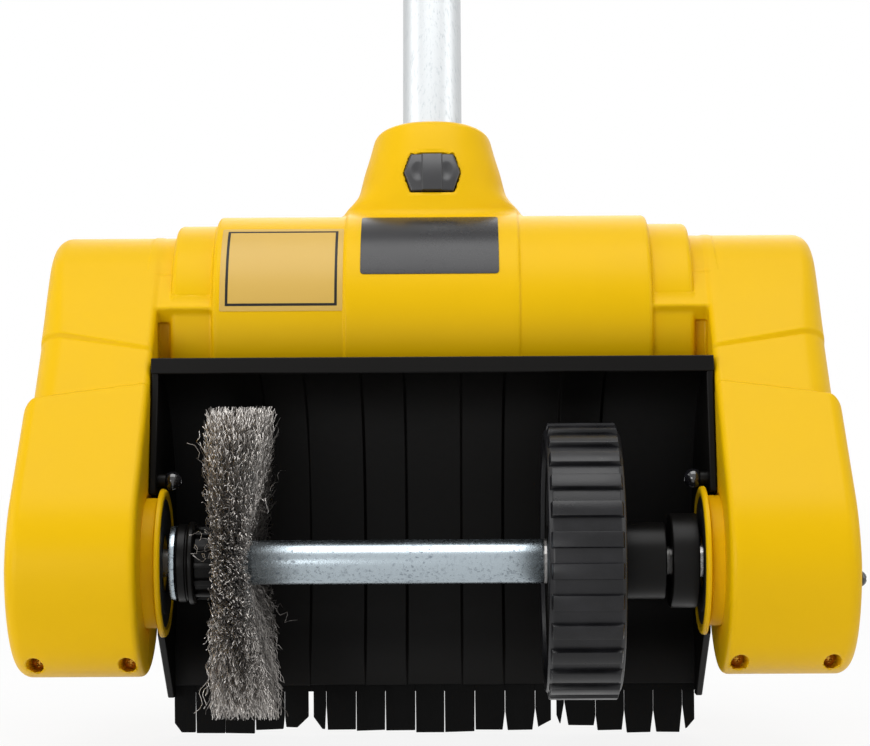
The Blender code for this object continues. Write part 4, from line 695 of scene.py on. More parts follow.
# %% [markdown]
# ## The motor housing
#
# On the real machine this is a pair of yellow shells, front and rear, moulded with ribs and
# screw bosses inside. The form is a barrel for the motor with a raised band round its middle,
# two stepped ends, two flat arms that reach down to the spindle, a bulging cover on each
# arm's nose, and a neck that takes the tube. In photographs the steps between these are small
# but sharp, and the neck flows into the barrel, so each joint has its own fillet.

# %% The arms and their nose covers
ARM_LENGTH = math.hypot(MOTOR.y, MOTOR.z)
AXLE_RADIUS, SHOULDER_RADIUS = 0.0475, 0.0425
ARM_INNER, ARM_OUTER, NOSE_OUTER = 0.123, 0.1743, 0.1815
ARM_TAPER = 0.05


def on_arm(y, z):
    """How far along the arm a point is from the spindle, and how far to its front side."""
    along = (y * MOTOR.y + z * MOTOR.z) / ARM_LENGTH
    front = (z * MOTOR.y - y * MOTOR.z) / ARM_LENGTH
    return along, front


def arm_outline(y, z):
    return stadium(y, z, (0, 0), AXLE_RADIUS, (MOTOR.y, MOTOR.z), SHOULDER_RADIUS)


def arm_form(side, y, z):
    along, front = on_arm(y, z)
    inwards = np.clip((side - ARM_INNER) / ARM_TAPER, 0, 1)
    crease = 0.083 + 0.010 * inwards
    upper = smooth(along, crease - 0.0006, crease + 0.0022) * (1 - smooth(along, 0.112, 0.150))
    raised = (0.0010 + 0.0011 * inwards) * upper * smooth(front, 0.015, 0.030)
    outline = arm_outline(y, z) - raised
    edge = 0.012 - 0.004 * smooth(z, 0.100, 0.135)
    return common(common(outline, side - ARM_OUTER, edge), ARM_INNER - side, 0.003)


def nose_form(side, y, z):
    along, front = on_arm(y, z)
    end = 0.0635 - 0.0085 * np.clip((side - ARM_INNER) / ARM_TAPER, 0, 1.1)
    cover = common(arm_outline(y, z) - 0.0012, along - end, 0.0012)
    out = np.where(along < 0, np.hypot(y, z), np.abs(front))
    outer = side - NOSE_OUTER + 0.025 * np.maximum(z, 0) + 2.0 * out ** 2
    return common(common(cover, outer, 0.0050), ARM_INNER - side, 0.003)


print("an arm is", round(ARM_LENGTH, 4), "m from axis to axis")

# %% The barrel, its stepped ends and the ledge under them
HOOD_OUTER = 0.0894
HOOD_SEAT = HOOD_OUTER + 0.0003
BARREL_RADIUS, BARREL_HALF = 0.0520, 0.0985
BAND_RADIUS, BAND_HALF = 0.0530, 0.0395
END_RADIUS, END_HALF = 0.0480, 0.1172


def barrel_form(side, y, z):
    centre = np.hypot(y - MOTOR.y, z - MOTOR.z)
    barrel = common(centre - BARREL_RADIUS, side - BARREL_HALF, 0.0022)
    barrel = union(barrel, common(centre - BAND_RADIUS, side - BAND_HALF, 0.0012), 0.0005)
    along, front = on_arm(y, z)
    face = 0.9993 * front + 0.0371 * along - AXLE_RADIUS
    step = meet(z - 0.1168, -face)
    end = common(centre - END_RADIUS, side - END_HALF, 0.0025)
    end = common(end, -np.minimum(step, 0.02), 0.0008)
    ledge = common(face, 0.87 * (0.0383 - y) + 0.5 * (0.111 - z), 0.001)
    ledge = meet(ledge, 0.1045 - z, side - 0.125, z - 0.126, y - MOTOR.y)
    shoulder = meet(centre - SHOULDER_RADIUS, side - 0.128)
    root = common(centre - END_RADIUS, side - END_HALF, 0.002)
    ends = union(union(end, ledge, 0.0005), meet(root, z - 0.1165), 0.001)
    ends = union(ends, shoulder, 0.001)
    body = union(barrel, ends, 0.0012)
    return less(body, np.hypot(y, z) - HOOD_SEAT, 0.0015)


print("the hood's seat has a radius of", HOOD_SEAT)

# %% The neck, with a pocket round the release button
OVAL, NECK_TOP = 2.3, 0.0962
NECK = np.array([
    (0.020, 0.0440, 0.0282), (0.0540, 0.0430, 0.0280), (0.0586, 0.0386, 0.0283),
    (0.0614, 0.0363, 0.0285), (0.0642, 0.0348, 0.0286), (0.0700, 0.0335, 0.0284),
    (0.0753, 0.0323, 0.0279), (0.0859, 0.0293, 0.0264), (0.0912, 0.0281, 0.0253),
    (0.0965, 0.0263, 0.0234), (0.0990, 0.0252, 0.0218),
])


def on_pole(y, z):
    deep = (y - MOTOR.y) * math.cos(LEAN) - (z - MOTOR.z) * math.sin(LEAN)
    up = (y - MOTOR.y) * math.sin(LEAN) + (z - MOTOR.z) * math.cos(LEAN)
    return deep, up


BUTTON_UP, BUTTON_HALF, BUTTON_POINT = 0.067, 0.0094, 0.0130
SLANT_COSINE, SLANT_SINE = 0.951, 0.310


def hexagon(x, up, grow):
    """Distance to the release button's outline, in the plane of its face."""
    flat = np.abs(up) - BUTTON_HALF
    slant = (np.abs(x) - BUTTON_POINT) * SLANT_COSINE + np.abs(up) * SLANT_SINE
    return meet(flat, slant) - grow


def neck_form(x, y, z):
    deep, up = on_pole(y, z)
    wide, thick = (
        sum(np.interp(up + k, NECK[:, 0], NECK[:, n]) for k in (-0.002, 0, 0.002)) / 3
        for n in (1, 2)
    )
    share = ((np.abs(x) / wide) ** OVAL + (np.abs(deep) / thick) ** OVAL) ** (1 / OVAL)
    neck = common((share - 1) * thick, up - NECK_TOP, 0.0040)
    neck = meet(neck, 0.018 - up)
    slope = hexagon(x, up - BUTTON_UP - 0.0006, 0.0026) * 0.6 + (deep + 0.0284) * 0.8
    pocket = meet(slope, deep + 0.0275, -0.05 - deep)
    return less(neck, pocket, 0.0006)


print("the neck narrows from", 2 * NECK[0, 1], "to", 2 * NECK[-1, 1])

# %% [markdown]
# The two shells share one outer form and one hollow, which is the outer form moved inwards by
# the wall, with screw bosses, the tube's socket and the shafts' seats left standing. They part
# along a line that follows the tube, then the arms, then drops from the spindle.

# %% The whole outside and the hollow inside
WALL = 0.0029


def outside(x, y, z):
    side = np.abs(x)
    arms = union(arm_form(side, y, z), nose_form(side, y, z), 0.0006)
    body = union(barrel_form(side, y, z), neck_form(x, y, z), 0.0032)
    return union(body, arms, 0.0012)


NOSE_SCREWS = [(0.129, -0.041), (0.168, -0.041)]
REAR_SCREW = (0.080, 0.142)
NOSE_SEAT, REAR_SEAT = -0.012, 0.112
HOOD_SCREW, SIDE_SCREW = (0.008, 0.035), (-0.022, -0.0065)
BOSS, BORE_FOR_SCREW, RECESS, SEAT_END = 0.005, 0.0021, 0.0036, 0.1683
LOWER_FIT, UPPER_FIT, TUBE_SEAT = 0.0143, 0.0125, 0.0437
SOCKET_RADIUS, SOCKET_FOOT = 0.0173, 0.041
CASE_RADIUS, CASE_HALF = 0.0424, 0.0735
BEARING_RADIUS, BEARING_IN, BEARING_OUT = 0.0283, 0.118, 0.131
OUTPUT_BORE, OUTPUT_IN, JACKSHAFT_BORE, JACKSHAFT_IN = 0.0078, 0.14, 0.0053, 0.1245


def hollow(x, y, z, shell):
    side = np.abs(x)
    deep, up = on_pole(y, z)
    bosses = [BOSS - np.hypot(side - out, z - level) for out, level in (*NOSE_SCREWS, REAR_SCREW)]
    tube = meet(np.hypot(x, deep) - SOCKET_RADIUS, SOCKET_FOOT - up)
    button = meet(hexagon(x, up - BUTTON_UP, 0.003), 0.015 + deep)
    near = np.hypot(y - JACKSHAFT.y, z - JACKSHAFT.z) - 0.008
    near = meet(near, np.minimum(x - 0.1308, 0.1602 - x))
    far = meet(np.hypot(y, z) - 0.0105, 0.161 - x)
    room = meet(shell + WALL, *bosses, -np.minimum(tube, button), -near, -far)
    case = meet(np.hypot(y - MOTOR.y, z - MOTOR.z) - CASE_RADIUS, side - CASE_HALF)
    return np.minimum(room, case)


low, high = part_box("jackshaft")
JACKSHAFT = (low + high) / 2 - AXLE
print("the jackshaft is at", [round(v, 4) for v in JACKSHAFT])

# %% Holes, and the line that parts the shells
def holes(x, y, z):
    side = np.abs(x)
    deep, up = on_pole(y, z)
    found = [
        meet(np.hypot(x, deep) - LOWER_FIT, TUBE_SEAT - up),
        meet(hexagon(x, up - BUTTON_UP, 0.0004), deep + 0.0179),
        meet(np.hypot(x, up - BUTTON_UP) - 0.0033, deep + 0.010),
        meet(np.hypot(y, z) - BEARING_RADIUS, side - BEARING_OUT, BEARING_IN - side),
        meet(np.hypot(y, z) - OUTPUT_BORE, OUTPUT_IN - x, x - SEAT_END),
        meet(
            np.hypot(y - JACKSHAFT.y, z - JACKSHAFT.z) - JACKSHAFT_BORE,
            JACKSHAFT_IN - x, x - SEAT_END,
        ),
        meet(
            np.hypot(y - HOOD_SCREW[0], z - HOOD_SCREW[1]) - BORE_FOR_SCREW,
            side - 0.132, 0.114 - side,
        ),
        meet(np.hypot(y - SIDE_SCREW[0], z - SIDE_SCREW[1]) - BORE_FOR_SCREW, 0.1720 - x),
    ]
    for out, level in NOSE_SCREWS:
        off = np.hypot(side - out, z - level)
        found.append(meet(off - BORE_FOR_SCREW, y - 0.0165, -0.06 - y))
        found.append(meet(off - RECESS, y - NOSE_SEAT, -0.06 - y))
    off = np.hypot(side - REAR_SCREW[0], z - REAR_SCREW[1])
    found.append(meet(off - BORE_FOR_SCREW, 0.0675 - y))
    found.append(meet(off - RECESS, REAR_SEAT - y))
    return np.minimum.reduce(found)


SEAM = 0.0002
VENT_FIRST, VENT_MIDDLE, VENT_HALF, VENT_PITCH = 0.0480, 0.0560, 0.012, 0.008


def parting(y, z):
    """Below zero in front of the line that parts the shells."""
    deep, up = on_pole(y, z)
    along, front = on_arm(y, z)
    return np.where(up > 0, deep, np.where(along > 0, -front, y))


def housing_rule(x, y, z):
    shell = less(outside(x, y, z), holes(x, y, z), 0.0004)
    return meet(shell, -hollow(x, y, z, shell))


def front_rule(x, y, z):
    return meet(housing_rule(x, y, z), parting(y, z) + SEAM)


def rear_rule(x, y, z):
    shell = housing_rule(x, y, z)
    behind = y - MOTOR.y
    pad = block(x, behind, z - MOTOR.z, (0, 0.052, 0), (0.028, 0.003, 0.013), 0.001)
    shell = union(shell, pad, 0.0005)
    side, half_pitch = np.abs(x), VENT_PITCH / 2
    slots = np.abs(side - VENT_MIDDLE) - VENT_HALF
    pitch = np.abs((side - VENT_FIRST + half_pitch) % VENT_PITCH - half_pitch) - half_pitch / 2
    vent = meet(pitch, slots, np.abs(z - MOTOR.z - VENT_HALF) - 0.013, 0.030 - behind)
    return meet(less(shell, vent, 0.0005), SEAM - parting(y, z))


CORNERS = (-0.1835, -0.0515, -0.0515), (0.1835, 0.1455, 0.2080)
print("the rules for both shells are ready")

# %% The shells themselves
MOST_FACES = 190000
for word, rule in (("front", front_rule), ("rear", rear_rule)):
    mould(
        word + "_shell", rule, CORNERS, CELL, MOST_FACES, HEAD, "head", YELLOW, "housing_" + word,
    )

# %% [markdown]
# ## Trees that repeat things
#
# Geometry Nodes make what repeats: the brush's wires, the tyre's bars and the ribs of the hubs.
# A tree is built with named inputs for its sizes. Each run of it is on an empty object, its
# result is kept as a plain mesh, and that object goes.

# %% A geometry tree with named inputs
class Maker(Tree):
    KINDS = {int: "NodeSocketInt", float: "NodeSocketFloat", bpy.types.Object: "NodeSocketObject"}

    def __init__(self, name, **inputs):
        super().__init__(bpy.data.node_groups.new(name, "GeometryNodeTree"))
        face = self.tree.interface
        face.new_socket("Geometry", in_out="OUTPUT", socket_type="NodeSocketGeometry")
        self.found = {
            label: face.new_socket(label, in_out="INPUT", socket_type=self.KINDS[kind])
            for label, kind in inputs.items()
        }
        self.start = self.tree.nodes.new("NodeGroupInput")

    def __getitem__(self, label):
        return Value(self, self.start.outputs[label])

    def random(self, low, high, salt):
        """A random number for each point, from the tree's own seed."""
        return self.node(
            "FunctionNodeRandomValue", {"data_type": "FLOAT"},
            {2: low, 3: high, 8: self["Seed"] + salt}, output=1,
        )

    def finish(self, geometry, material):
        real = self.node("GeometryNodeRealizeInstances", {}, {"Geometry": geometry})
        dressed = self.node(
            "GeometryNodeSetMaterial", {}, {"Geometry": real, "Material": material},
        )
        end = self.tree.nodes.new("NodeGroupOutput")
        self.tree.links.new(dressed.socket, end.inputs["Geometry"])

    def run(self, matrix, **values):
        """The tree's result as a plain mesh, moved to its place."""
        inputs = {self.found[label].identifier: value for label, value in values.items()}
        empty = bpy.data.meshes.new("empty")
        mesh = baked(empty, "NODES", {"node_group": self.tree}, inputs)
        mesh.transform(matrix)
        return mesh


print("geometry trees are ready")

# %% One item set round an axis
round_axis = Maker("set_round_an_axis", Item=bpy.types.Object, Count=int)
index = round_axis.node("GeometryNodeInputIndex")
turn = index * math.tau / round_axis["Count"]
spots = round_axis.node("GeometryNodePoints", {}, {"Count": round_axis["Count"]})
item = round_axis.node(
    "GeometryNodeObjectInfo", {}, {"Object": round_axis["Item"]}, output="Geometry",
)
rotation = round_axis.node("ShaderNodeCombineXYZ", {}, {"Z": turn})
copies = round_axis.node(
    "GeometryNodeInstanceOnPoints", {}, {"Points": spots, "Instance": item, "Rotation": rotation},
)
round_axis.finish(copies, BLACK)


def set_round(mesh, count, matrix, bevel=0.0004):
    """Copies a small mesh round the local Z axis, with its edges rounded first."""
    obj = linked("item", baked(mesh, "BEVEL", {"width": bevel, "segments": 2}))
    result = round_axis.run(matrix, Item=obj, Count=count)
    bpy.data.objects.remove(obj, do_unlink=True)
    return result


print("items can be set round an axis")

# %% [markdown]
# ## The wire brush
#
# A joint brush is a disc of thousands of crimped steel wires, clamped on a black hub. New wires
# stand in a dense mat; a few stray out to the sides. A texture on a disc looks flat from the
# side and hair particles don't export, so every wire is a thin three-sided tube. Its points
# come from formulas: it leaves the hub at a random angle and place, fans out a little, and
# waves on its way to the tip.

# %% The tree of one bundle of wires
bundle = Maker(
    "bundle_of_wires", Seed=int, Wires=int, Left=float, Right=float, Root=float, Tip=float,
    Fan=float, Wave=float, Thickness=float,
)
spots = bundle.node("GeometryNodePoints", {}, {"Count": bundle["Wires"]})
for label, low, high, salt in (
    ("angle", 0.0, math.tau, 1), ("place", -1.0, 1.0, 2), ("tone", 0.0, 1.0, 3),
    ("phase", 0.0, math.tau, 4), ("reach", 0.0, 1.0, 5), ("stray", 0.0, 1.0, 6),
    ("rhythm", 0.7, 1.35, 7),
):
    spots = bundle.node(
        "GeometryNodeStoreNamedAttribute", {"data_type": "FLOAT", "domain": "POINT"},
        {"Geometry": spots, "Name": label, "Value": bundle.random(low, high, salt)},
    )
line = bundle.node("GeometryNodeCurvePrimitiveLine", {}, {"End": (0, 0, 1)})
line = bundle.node("GeometryNodeResampleCurve", {}, {"Curve": line, "Count": 25})
wires = bundle.node("GeometryNodeInstanceOnPoints", {}, {"Points": spots, "Instance": line})
wires = bundle.node("GeometryNodeRealizeInstances", {}, {"Geometry": wires})
print("a bundle holds its wires as lines of 25 points")

# %% How a wire runs from hub to tip
BRUSH_LEFT, BRUSH_RIGHT = -0.0905, -0.0795
BRUSH_MIDDLE = (BRUSH_LEFT + BRUSH_RIGHT) / 2
along = bundle.node("GeometryNodeSplineParameter", output="Factor")


def stored(label):
    return bundle.node(
        "GeometryNodeInputNamedAttribute", {"data_type": "FLOAT"}, {"Name": label},
    )


def sine(value):
    return value.maths("SINE")


phase, rhythm, stray = stored("phase"), stored("rhythm"), stored("stray")
wild = stray.maths("POWER", 45.0)
swing = bundle["Wave"] * (wild * 1.6 + 1.0) * along.maths("POWER", 0.35)
first = sine(along * rhythm * 29.0 + phase) * swing
second = sine(along * rhythm * 34.0 + phase * 1.7) * swing
bow = sine(along * 3.1 + phase * 2.3) * swing * 1.6
tip = bundle["Tip"] * (1.0 - stored("reach").maths("POWER", 1.6) * 0.085)
radius = bundle["Root"] + (tip - bundle["Root"]) * along
middle = (bundle["Left"] + bundle["Right"]) * 0.5
half = (bundle["Right"] - bundle["Left"]) * 0.5
lean = sine(phase * 3.0) * wild * along * along * 0.014
angle = stored("angle")
height = sine(angle)
fanned = (1.0 + bundle["Fan"] * along) * (height.maths("ABSOLUTE") * 0.93 * along + 1.0)
side = (middle + stored("place") * half - BRUSH_MIDDLE) * fanned
pushed = (height * (height * 0.00075 - 0.00105) + 0.0028) * along
across = side + BRUSH_MIDDLE + first + bow * 0.5 + lean + pushed
angle = angle + (second + bow) / radius
place = bundle.node("ShaderNodeCombineXYZ", {}, {
    "X": angle.maths("COSINE") * radius, "Y": sine(angle) * radius, "Z": across,
})
wires = bundle.node("GeometryNodeSetPosition", {}, {"Geometry": wires, "Position": place})
profile = bundle.node(
    "GeometryNodeCurvePrimitiveCircle", {}, {"Resolution": 3, "Radius": bundle["Thickness"]},
)
tubes = bundle.node(
    "GeometryNodeCurveToMesh", {}, {"Curve": wires, "Profile Curve": profile, "Fill Caps": True},
)
bundle.finish(tubes, WIRE)
print("the wires wave on two sides and a few stray")

# %% Four bundles side by side, and a dark disc between them as painted shade
WIDE = BRUSH_RIGHT - BRUSH_LEFT
ROOT, TIP, WIRE_RADIUS = 0.017, 0.0675, 0.00015
for number, (start, end) in enumerate(((0.0, 0.28), (0.23, 0.52), (0.48, 0.77), (0.72, 1.0))):
    wires = bundle.run(
        SPINDLE, Seed=11 * number + 5, Wires=1300, Left=BRUSH_LEFT + start * WIDE,
        Right=BRUSH_LEFT + end * WIDE, Root=ROOT, Tip=TIP, Fan=0.32, Wave=0.0008,
        Thickness=WIRE_RADIUS,
    )
    nodes = ("wire_brush",) if number == 1 else ()
    obj = piece("brush_wires_" + str(number + 1), wires, "spindle", WIRE, *nodes, sharp=180)
    print(obj.name, "has", len(wires.polygons), "faces")
# The dark disc inside the wires is painted shade: it stands for the shadow deep in the dense wire
# mass, and is no part of the brush.
painted_shade_disc = turned([
    (0.0143, -0.0800), (0.030, -0.0808), (0.046, -0.0818), (0.050, -0.0845), (0.046, -0.0878),
    (0.030, -0.0892), (0.0143, -0.0900),
], SPINDLE, 64, 0.004)
piece("brush_core", painted_shade_disc, "spindle", SEAL)

# %% [markdown]
# ## Hub, washers, spacer and dog
#
# These are plain turned parts on one shaft. Their edges are broken by about half a millimetre,
# which is what makes them look machined. The brush's hub has small ribs that grip the wires'
# clamp, set round it by the tree.

# %% Turned parts on the spindle
BORE = 0.0063


def rod(radius, low, high):
    return turned([(0, high), (radius, high), (radius, low), (0, low)], SPINDLE, 48)


hub = turned([
    (BORE, -0.0803), (0.0140, -0.0803), (0.0140, -0.1020), (0.0170, -0.1020), (0.0178, -0.1027),
    (0.0178, -0.1046), (0.0163, -0.1051), (0.0163, -0.1057), (0.0168, -0.1060),
    (0.0168, -0.1093), (0.0160, -0.1099), (BORE, -0.1099),
], SPINDLE, 64, 0.0005)
rib = prism(box_outline(0.0130, 0.0157, -0.0013, 0.0013), -0.1025, -0.0900, STILL)
ribs = set_round(rib, 12, SPINDLE)
piece("ribbed_hub", joined([hub, ribs]), "spindle", BLACK, "brush_hub")
dog = turned([
    (0.0078, 0.1133), (0.0203, 0.1133), (0.0203, 0.1022), (0.0196, 0.1015), (BORE, 0.1015),
    (BORE, 0.1075), (0.0078, 0.1075),
], SPINDLE, 64, 0.0006)
for name, mesh, material, node in (
    ("plated_washer", ring(BORE, 0.0160, -0.1128, -0.1102, SPINDLE), ZINC, "zinc_washer"),
    ("plated_spacer", ring(BORE, 0.0095, -0.0801, 0.0474, SPINDLE, 64, 0.0006), ZINC,
     "spacer_tube"),
    ("turned_shaft", rod(0.006, -0.128, 0.1072), STEEL, "spindle_shaft"),
    ("black_collar", ring(BORE, 0.0165, 0.0806, 0.0996, SPINDLE, 64, 0.0008), BLACK,
     "spindle_collar"),
    ("black_dog", dog, BLACK, "drive_dog"),
    ("turned_output_shaft", rod(0.0075, 0.1078, 0.168), STEEL, "output_shaft"),
):
    piece(name, mesh, "spindle", material, node)
print("the spindle's turned parts are in place")

# %% Bearing flanges with their seals
for side, word, matrix in ((-1, "left", SIDEWAYS @ FLIP), (1, "right", SIDEWAYS)):
    flange = turned([
        (0.0173, 0.1288), (0.0305, 0.1288), (0.0305, 0.1263), (0.0280, 0.1263),
        (0.0280, 0.1178), (0.0300, 0.1175), (0.0320, 0.1170), (0.0318, 0.1154),
        (0.0310, 0.1147), (0.0288, 0.1147), (0.0280, 0.1160), (0.0120, 0.1160),
        (0.0120, 0.1182), (0.0173, 0.1182),
    ], HEAD @ matrix, 96, 0.0004)
    piece(word + "_flange", flange, "head", YELLOW, word + "_bearing_flange")
    seal = turned([
        (0.0125, 0.1159), (0.0276, 0.1159), (0.0276, 0.1153), (0.0220, 0.1156),
        (0.0215, 0.1152), (0.0125, 0.1152),
    ], HEAD @ matrix, 72, 0.0002)
    piece(word + "_seal", seal, "head", SEAL)
    race = ring(0.0063 if side < 0 else 0.0078, 0.0170, 0.1185, 0.1275, HEAD @ matrix)
    piece(word + "_race", race, "head", STEEL, word + "_ball_bearing")
print("both flanges and bearings are in place")

# %% [markdown]
# ## The support wheel
#
# The wheel sets the brush's depth. Its tyre is hard rubber with 28 bars across, each with
# rounded edges and cut-back ends, standing on a band with soft shoulders. The bars are one
# small prism that the tree sets round the axle.

# %% Tyre and hub
WHEEL_LEFT, WHEEL_RIGHT, WHEEL_RADIUS = 0.0477, 0.0800, 0.0594
BARS, WEBS, BAR_ROOT, BAND_TOP = 28, 8, 0.0560, 0.0574
band = turned([
    (0.0520, WHEEL_RIGHT - 0.0004), (0.0545, WHEEL_RIGHT), (0.0558, WHEEL_RIGHT - 0.0002),
    (BAND_TOP, WHEEL_RIGHT - 0.0022), (BAND_TOP, WHEEL_LEFT + 0.0022),
    (0.0558, WHEEL_LEFT + 0.0002),
    (0.0545, WHEEL_LEFT), (0.0520, WHEEL_LEFT + 0.0004),
], SPINDLE, 112, 0.0006)
bar = prism(
    [(BAR_ROOT, -0.0035), (WHEEL_RADIUS, -0.0033), (WHEEL_RADIUS, 0.0033), (BAR_ROOT, 0.0035)],
    WHEEL_LEFT + 0.0009, WHEEL_RIGHT - 0.0009, STILL,
)
for vertex in bar.vertices:
    if vertex.co.x > 0.058:
        vertex.co.z += 0.0008 if vertex.co.z < 0.06 else -0.0008
bars = set_round(bar, BARS, SPINDLE, 0.0005)
piece("ribbed_tyre", joined([band, bars]), "wheel", TYRE, "wheel_tyre", sharp=30)
rim = turned([
    (0.0101, 0.0790), (0.0165, 0.0790), (0.0185, 0.0740), (0.0440, 0.0690), (0.0470, 0.0778),
    (0.0517, 0.0778), (0.0517, 0.0499), (0.0470, 0.0499), (0.0440, 0.0587), (0.0185, 0.0540),
    (0.0150, 0.0487), (0.0101, 0.0487),
], SPINDLE, 96, 0.0012)
web = prism(box_outline(0.0160, 0.0470, -0.0012, 0.0012), 0.0520, 0.0765, STILL)
webs = set_round(web, WEBS, SPINDLE, 0.0005)
piece("webbed_hub", joined([rim, webs]), "wheel", BLACK, "wheel_hub")
print("the tyre has", BARS, "bars, and its hub", WEBS, "webs on each side")

# %% [markdown]
# ## The hood and its flap
#
# The hood is a black moulding bent round the brush, stiffened by four shallow bands on its
# inside, with flat cheeks that hold it to the arms. It is lofted along the spindle: the same
# cross-section is set at each edge of each band. A live Bevel rounds the lip and the bands.

# %% The hood
HOOD_INSIDE, HOOD_HALF = 0.0861, 0.1227
APRON_OUTER, APRON_INNER, APRON_TOP, APRON_FOOT = 0.0773, 0.074, -0.045, -0.062
LIP_DEPTH, LIP_TURN, ARC_STEPS = 0.007, 0.0384, 56
BAND_HEIGHT, BAND_FOOT, BAND_CREST = 0.0015, 0.0099, 0.0093
LIP, LOW = math.radians(82), math.radians(-18)


def hood_section(rise):
    outer = arc((0, 0), HOOD_OUTER, LIP, LOW, ARC_STEPS)
    outer += [(APRON_OUTER, APRON_TOP), (APRON_OUTER, APRON_FOOT)]
    inner = [(APRON_INNER - rise, APRON_FOOT), (APRON_INNER - rise, APRON_TOP)]
    inner += arc((0, 0), HOOD_INSIDE - rise, LOW, LIP - LIP_TURN, ARC_STEPS)
    return outer + inner + arc((0, 0), HOOD_OUTER - LIP_DEPTH, LIP - LIP_TURN, LIP, 1)


stations = [(-HOOD_HALF, 0)]
for middle in (-0.06675, -0.02225, 0.02225, 0.06675):
    stations += [
        (middle - BAND_FOOT, 0), (middle - BAND_CREST, BAND_HEIGHT),
        (middle + BAND_CREST, BAND_HEIGHT), (middle + BAND_FOOT, 0),
    ]
stations.append((HOOD_HALF, 0))
shell = skinned([[(x, y, z) for y, z in hood_section(rise)] for x, rise in stations], HEAD)
piece("bent_hood", shell, "head", HOOD_SHADED_BLACK, "hood", bevel=0.00045, sharp=25)
print("the hood has", len(stations), "cross-sections")

# %% The hood's cheeks
cheek = arc((0, 0), 0.0878, LIP - 0.01, LOW, 48) + [(0.0757, -0.045), (0.0757, -0.067)]
cheek += [(0.069, -0.067), (0.029, -0.0345)]
cheek += arc((0, 0), 0.0295, math.radians(-31), math.radians(90), 28) + [(0, 0.0325)]
for side, word in ((-1, "left"), (1, "right")):
    low, high = sorted((side * 0.1194, side * 0.1224))
    plate = prism(cheek, low, high, SPINDLE)
    piece(word + "_cheek", plate, "head", HOOD_SHADED_BLACK, bevel=0.0006, sharp=30)
    low, high = sorted((side * 0.1157, side * 0.1200))
    stub = ring(0.0021, 0.0031, low, high, HEAD @ shift((0, *HOOD_SCREW)) @ SIDEWAYS, 32)
    piece(word + "_stub", stub, "head", HOOD_SHADED_BLACK)
print("the cheeks leave room for the flanges")

# %% [markdown]
# ## Plates on the barrel
#
# A thin black rating plate and a pale square label are glued to the barrel. Both are left bare
# here. They bend with the barrel, so each is swept round its axis with real thickness, its
# corners are round, and the label has a thin printed frame as raised ink.

# %% A plate bent round the barrel
def bent_plate(left, right, low, high, radius, thickness, corner, steps=40):
    """Between two elevations in degrees, seen from the front."""
    low, high = math.radians(low), math.radians(high)
    rows = []
    for i in range(steps + 1):
        angle = low + (high - low) * (0.5 - 0.5 * math.cos(math.pi * i / steps))
        reach = min(angle - low, high - angle) * radius
        inset = 0.0
        if reach < corner:
            inset = corner - math.sqrt(max(0, corner ** 2 - (corner - reach) ** 2))
        rows.append([
            (x, -r * math.cos(angle), r * math.sin(angle))
            for x, r in (
                (left + inset, radius), (right - inset, radius),
                (right - inset, radius + thickness), (left + inset, radius + thickness),
            )
        ])
    return skinned(rows, MOTOR_FRAME)


plate = bent_plate(-0.0322, 0.0300, 26.5, 72.5, 0.0529, 0.0004, 0.0016)
piece("rating_plate", plate, "head", PLATE_BLACK, bevel=0.0001)
label = bent_plate(-0.0950, -0.0400, 8, 60, 0.0519, 0.0003, 0.0008)
piece("bare_label", label, "head", LABEL_YELLOW, bevel=0.00008)
strips = [
    bent_plate(*span, 0.0521, 0.00014, 0.0)
    for span in (
        (-0.0925, -0.0425, 10.6, 11.9), (-0.0925, -0.0425, 56.1, 57.4),
        (-0.0925, -0.0913, 10.6, 57.4), (-0.0437, -0.0425, 10.6, 57.4),
    )
]
piece("label_frame", joined(strips), "head", LABEL_INK)
print("the plate and the label follow the barrel")

# %% [markdown]
# ## Flap
#
# The rubber flap is a strip with hand-cut slits: the teeth stand a little askew, their tips
# wander, and the outer corners are cut off. Each group is one strip with its own teeth, and
# every tooth is a separate tongue that turns a few degrees about its root. The measures are in
# millimetres.

# %% The flap's teeth
TOOTH_ROOT, SIDE_CUT = -60, -66


def tongue(left, right, feet, top, cut, turn):
    """One tooth: its sides at the slit's top and at the tip, its tip's height and corners."""
    (near, far), (root_near, root_far) = (left, right), (left + feet[0], right - feet[1])
    outline = [(near, TOOTH_ROOT), (near, top[0])]
    outline += [(root_near, -feet[2] + cut[1])] if cut[0] else []
    outline += [(root_near + cut[0], -feet[2])]
    outline += [(root_far - cut[2], -feet[3])]
    outline += [(root_far, -feet[3] + cut[3])] if cut[2] else []
    outline += [(far, top[1]), (far, TOOTH_ROOT)]
    shape = prism([(x / 1000, z / 1000) for x, z in outline], -0.0799, -0.0775, STILL)
    hinge = shift((0, 0.0787, -0.064))
    turned_by = hinge @ Matrix.Rotation(math.radians(turn), 4, "X") @ hinge.inverted()
    shape.transform(HEAD @ turned_by @ TO_FRONT)
    return shape


GROUPS = {
    "left": (
        [-120.4, -110.5, -96.9, -83.0, -69.4, -58.3], [84.0, 84.5, 84.4, 83.0, 82.0],
        [70, 70, 74, 77], [0.2, 0.2, 0.3, 1.1], (3.2, 4.4, 5.2, 4.9),
    ),
    "middle": (
        [-56.2, -50.2, -36.4, -22.9, -9.0, 4.4, 18.4, 32.3, 46.2, 53.6],
        [83.1, 82.9, 83.5, 83.9, 84.9, 84.5, 83.6, 83.4, 82.4],
        [72, 70, 71, 70, 71, 70, 75.3, 73.9], [1.1, 0.2, 0.3, 0.2, 0.2, 0.3, 2.1, 2.5],
        (4.0, 5.6, 5.6, 3.0),
    ),
    "right": (
        [55.9, 59.6, 74.0, 87.2, 100.6, 114.0, 119.6], [80.9, 81.6, 83.8, 84.9, 84.8, 83.0],
        [71, 77.2, 74.9, 74.9, 72.4], [3.4, 1.6, 2.2, 2.6, 2.6], (1.4, 3.7, 3.3, 3.8),
    ),
}
chance = random.Random(5)
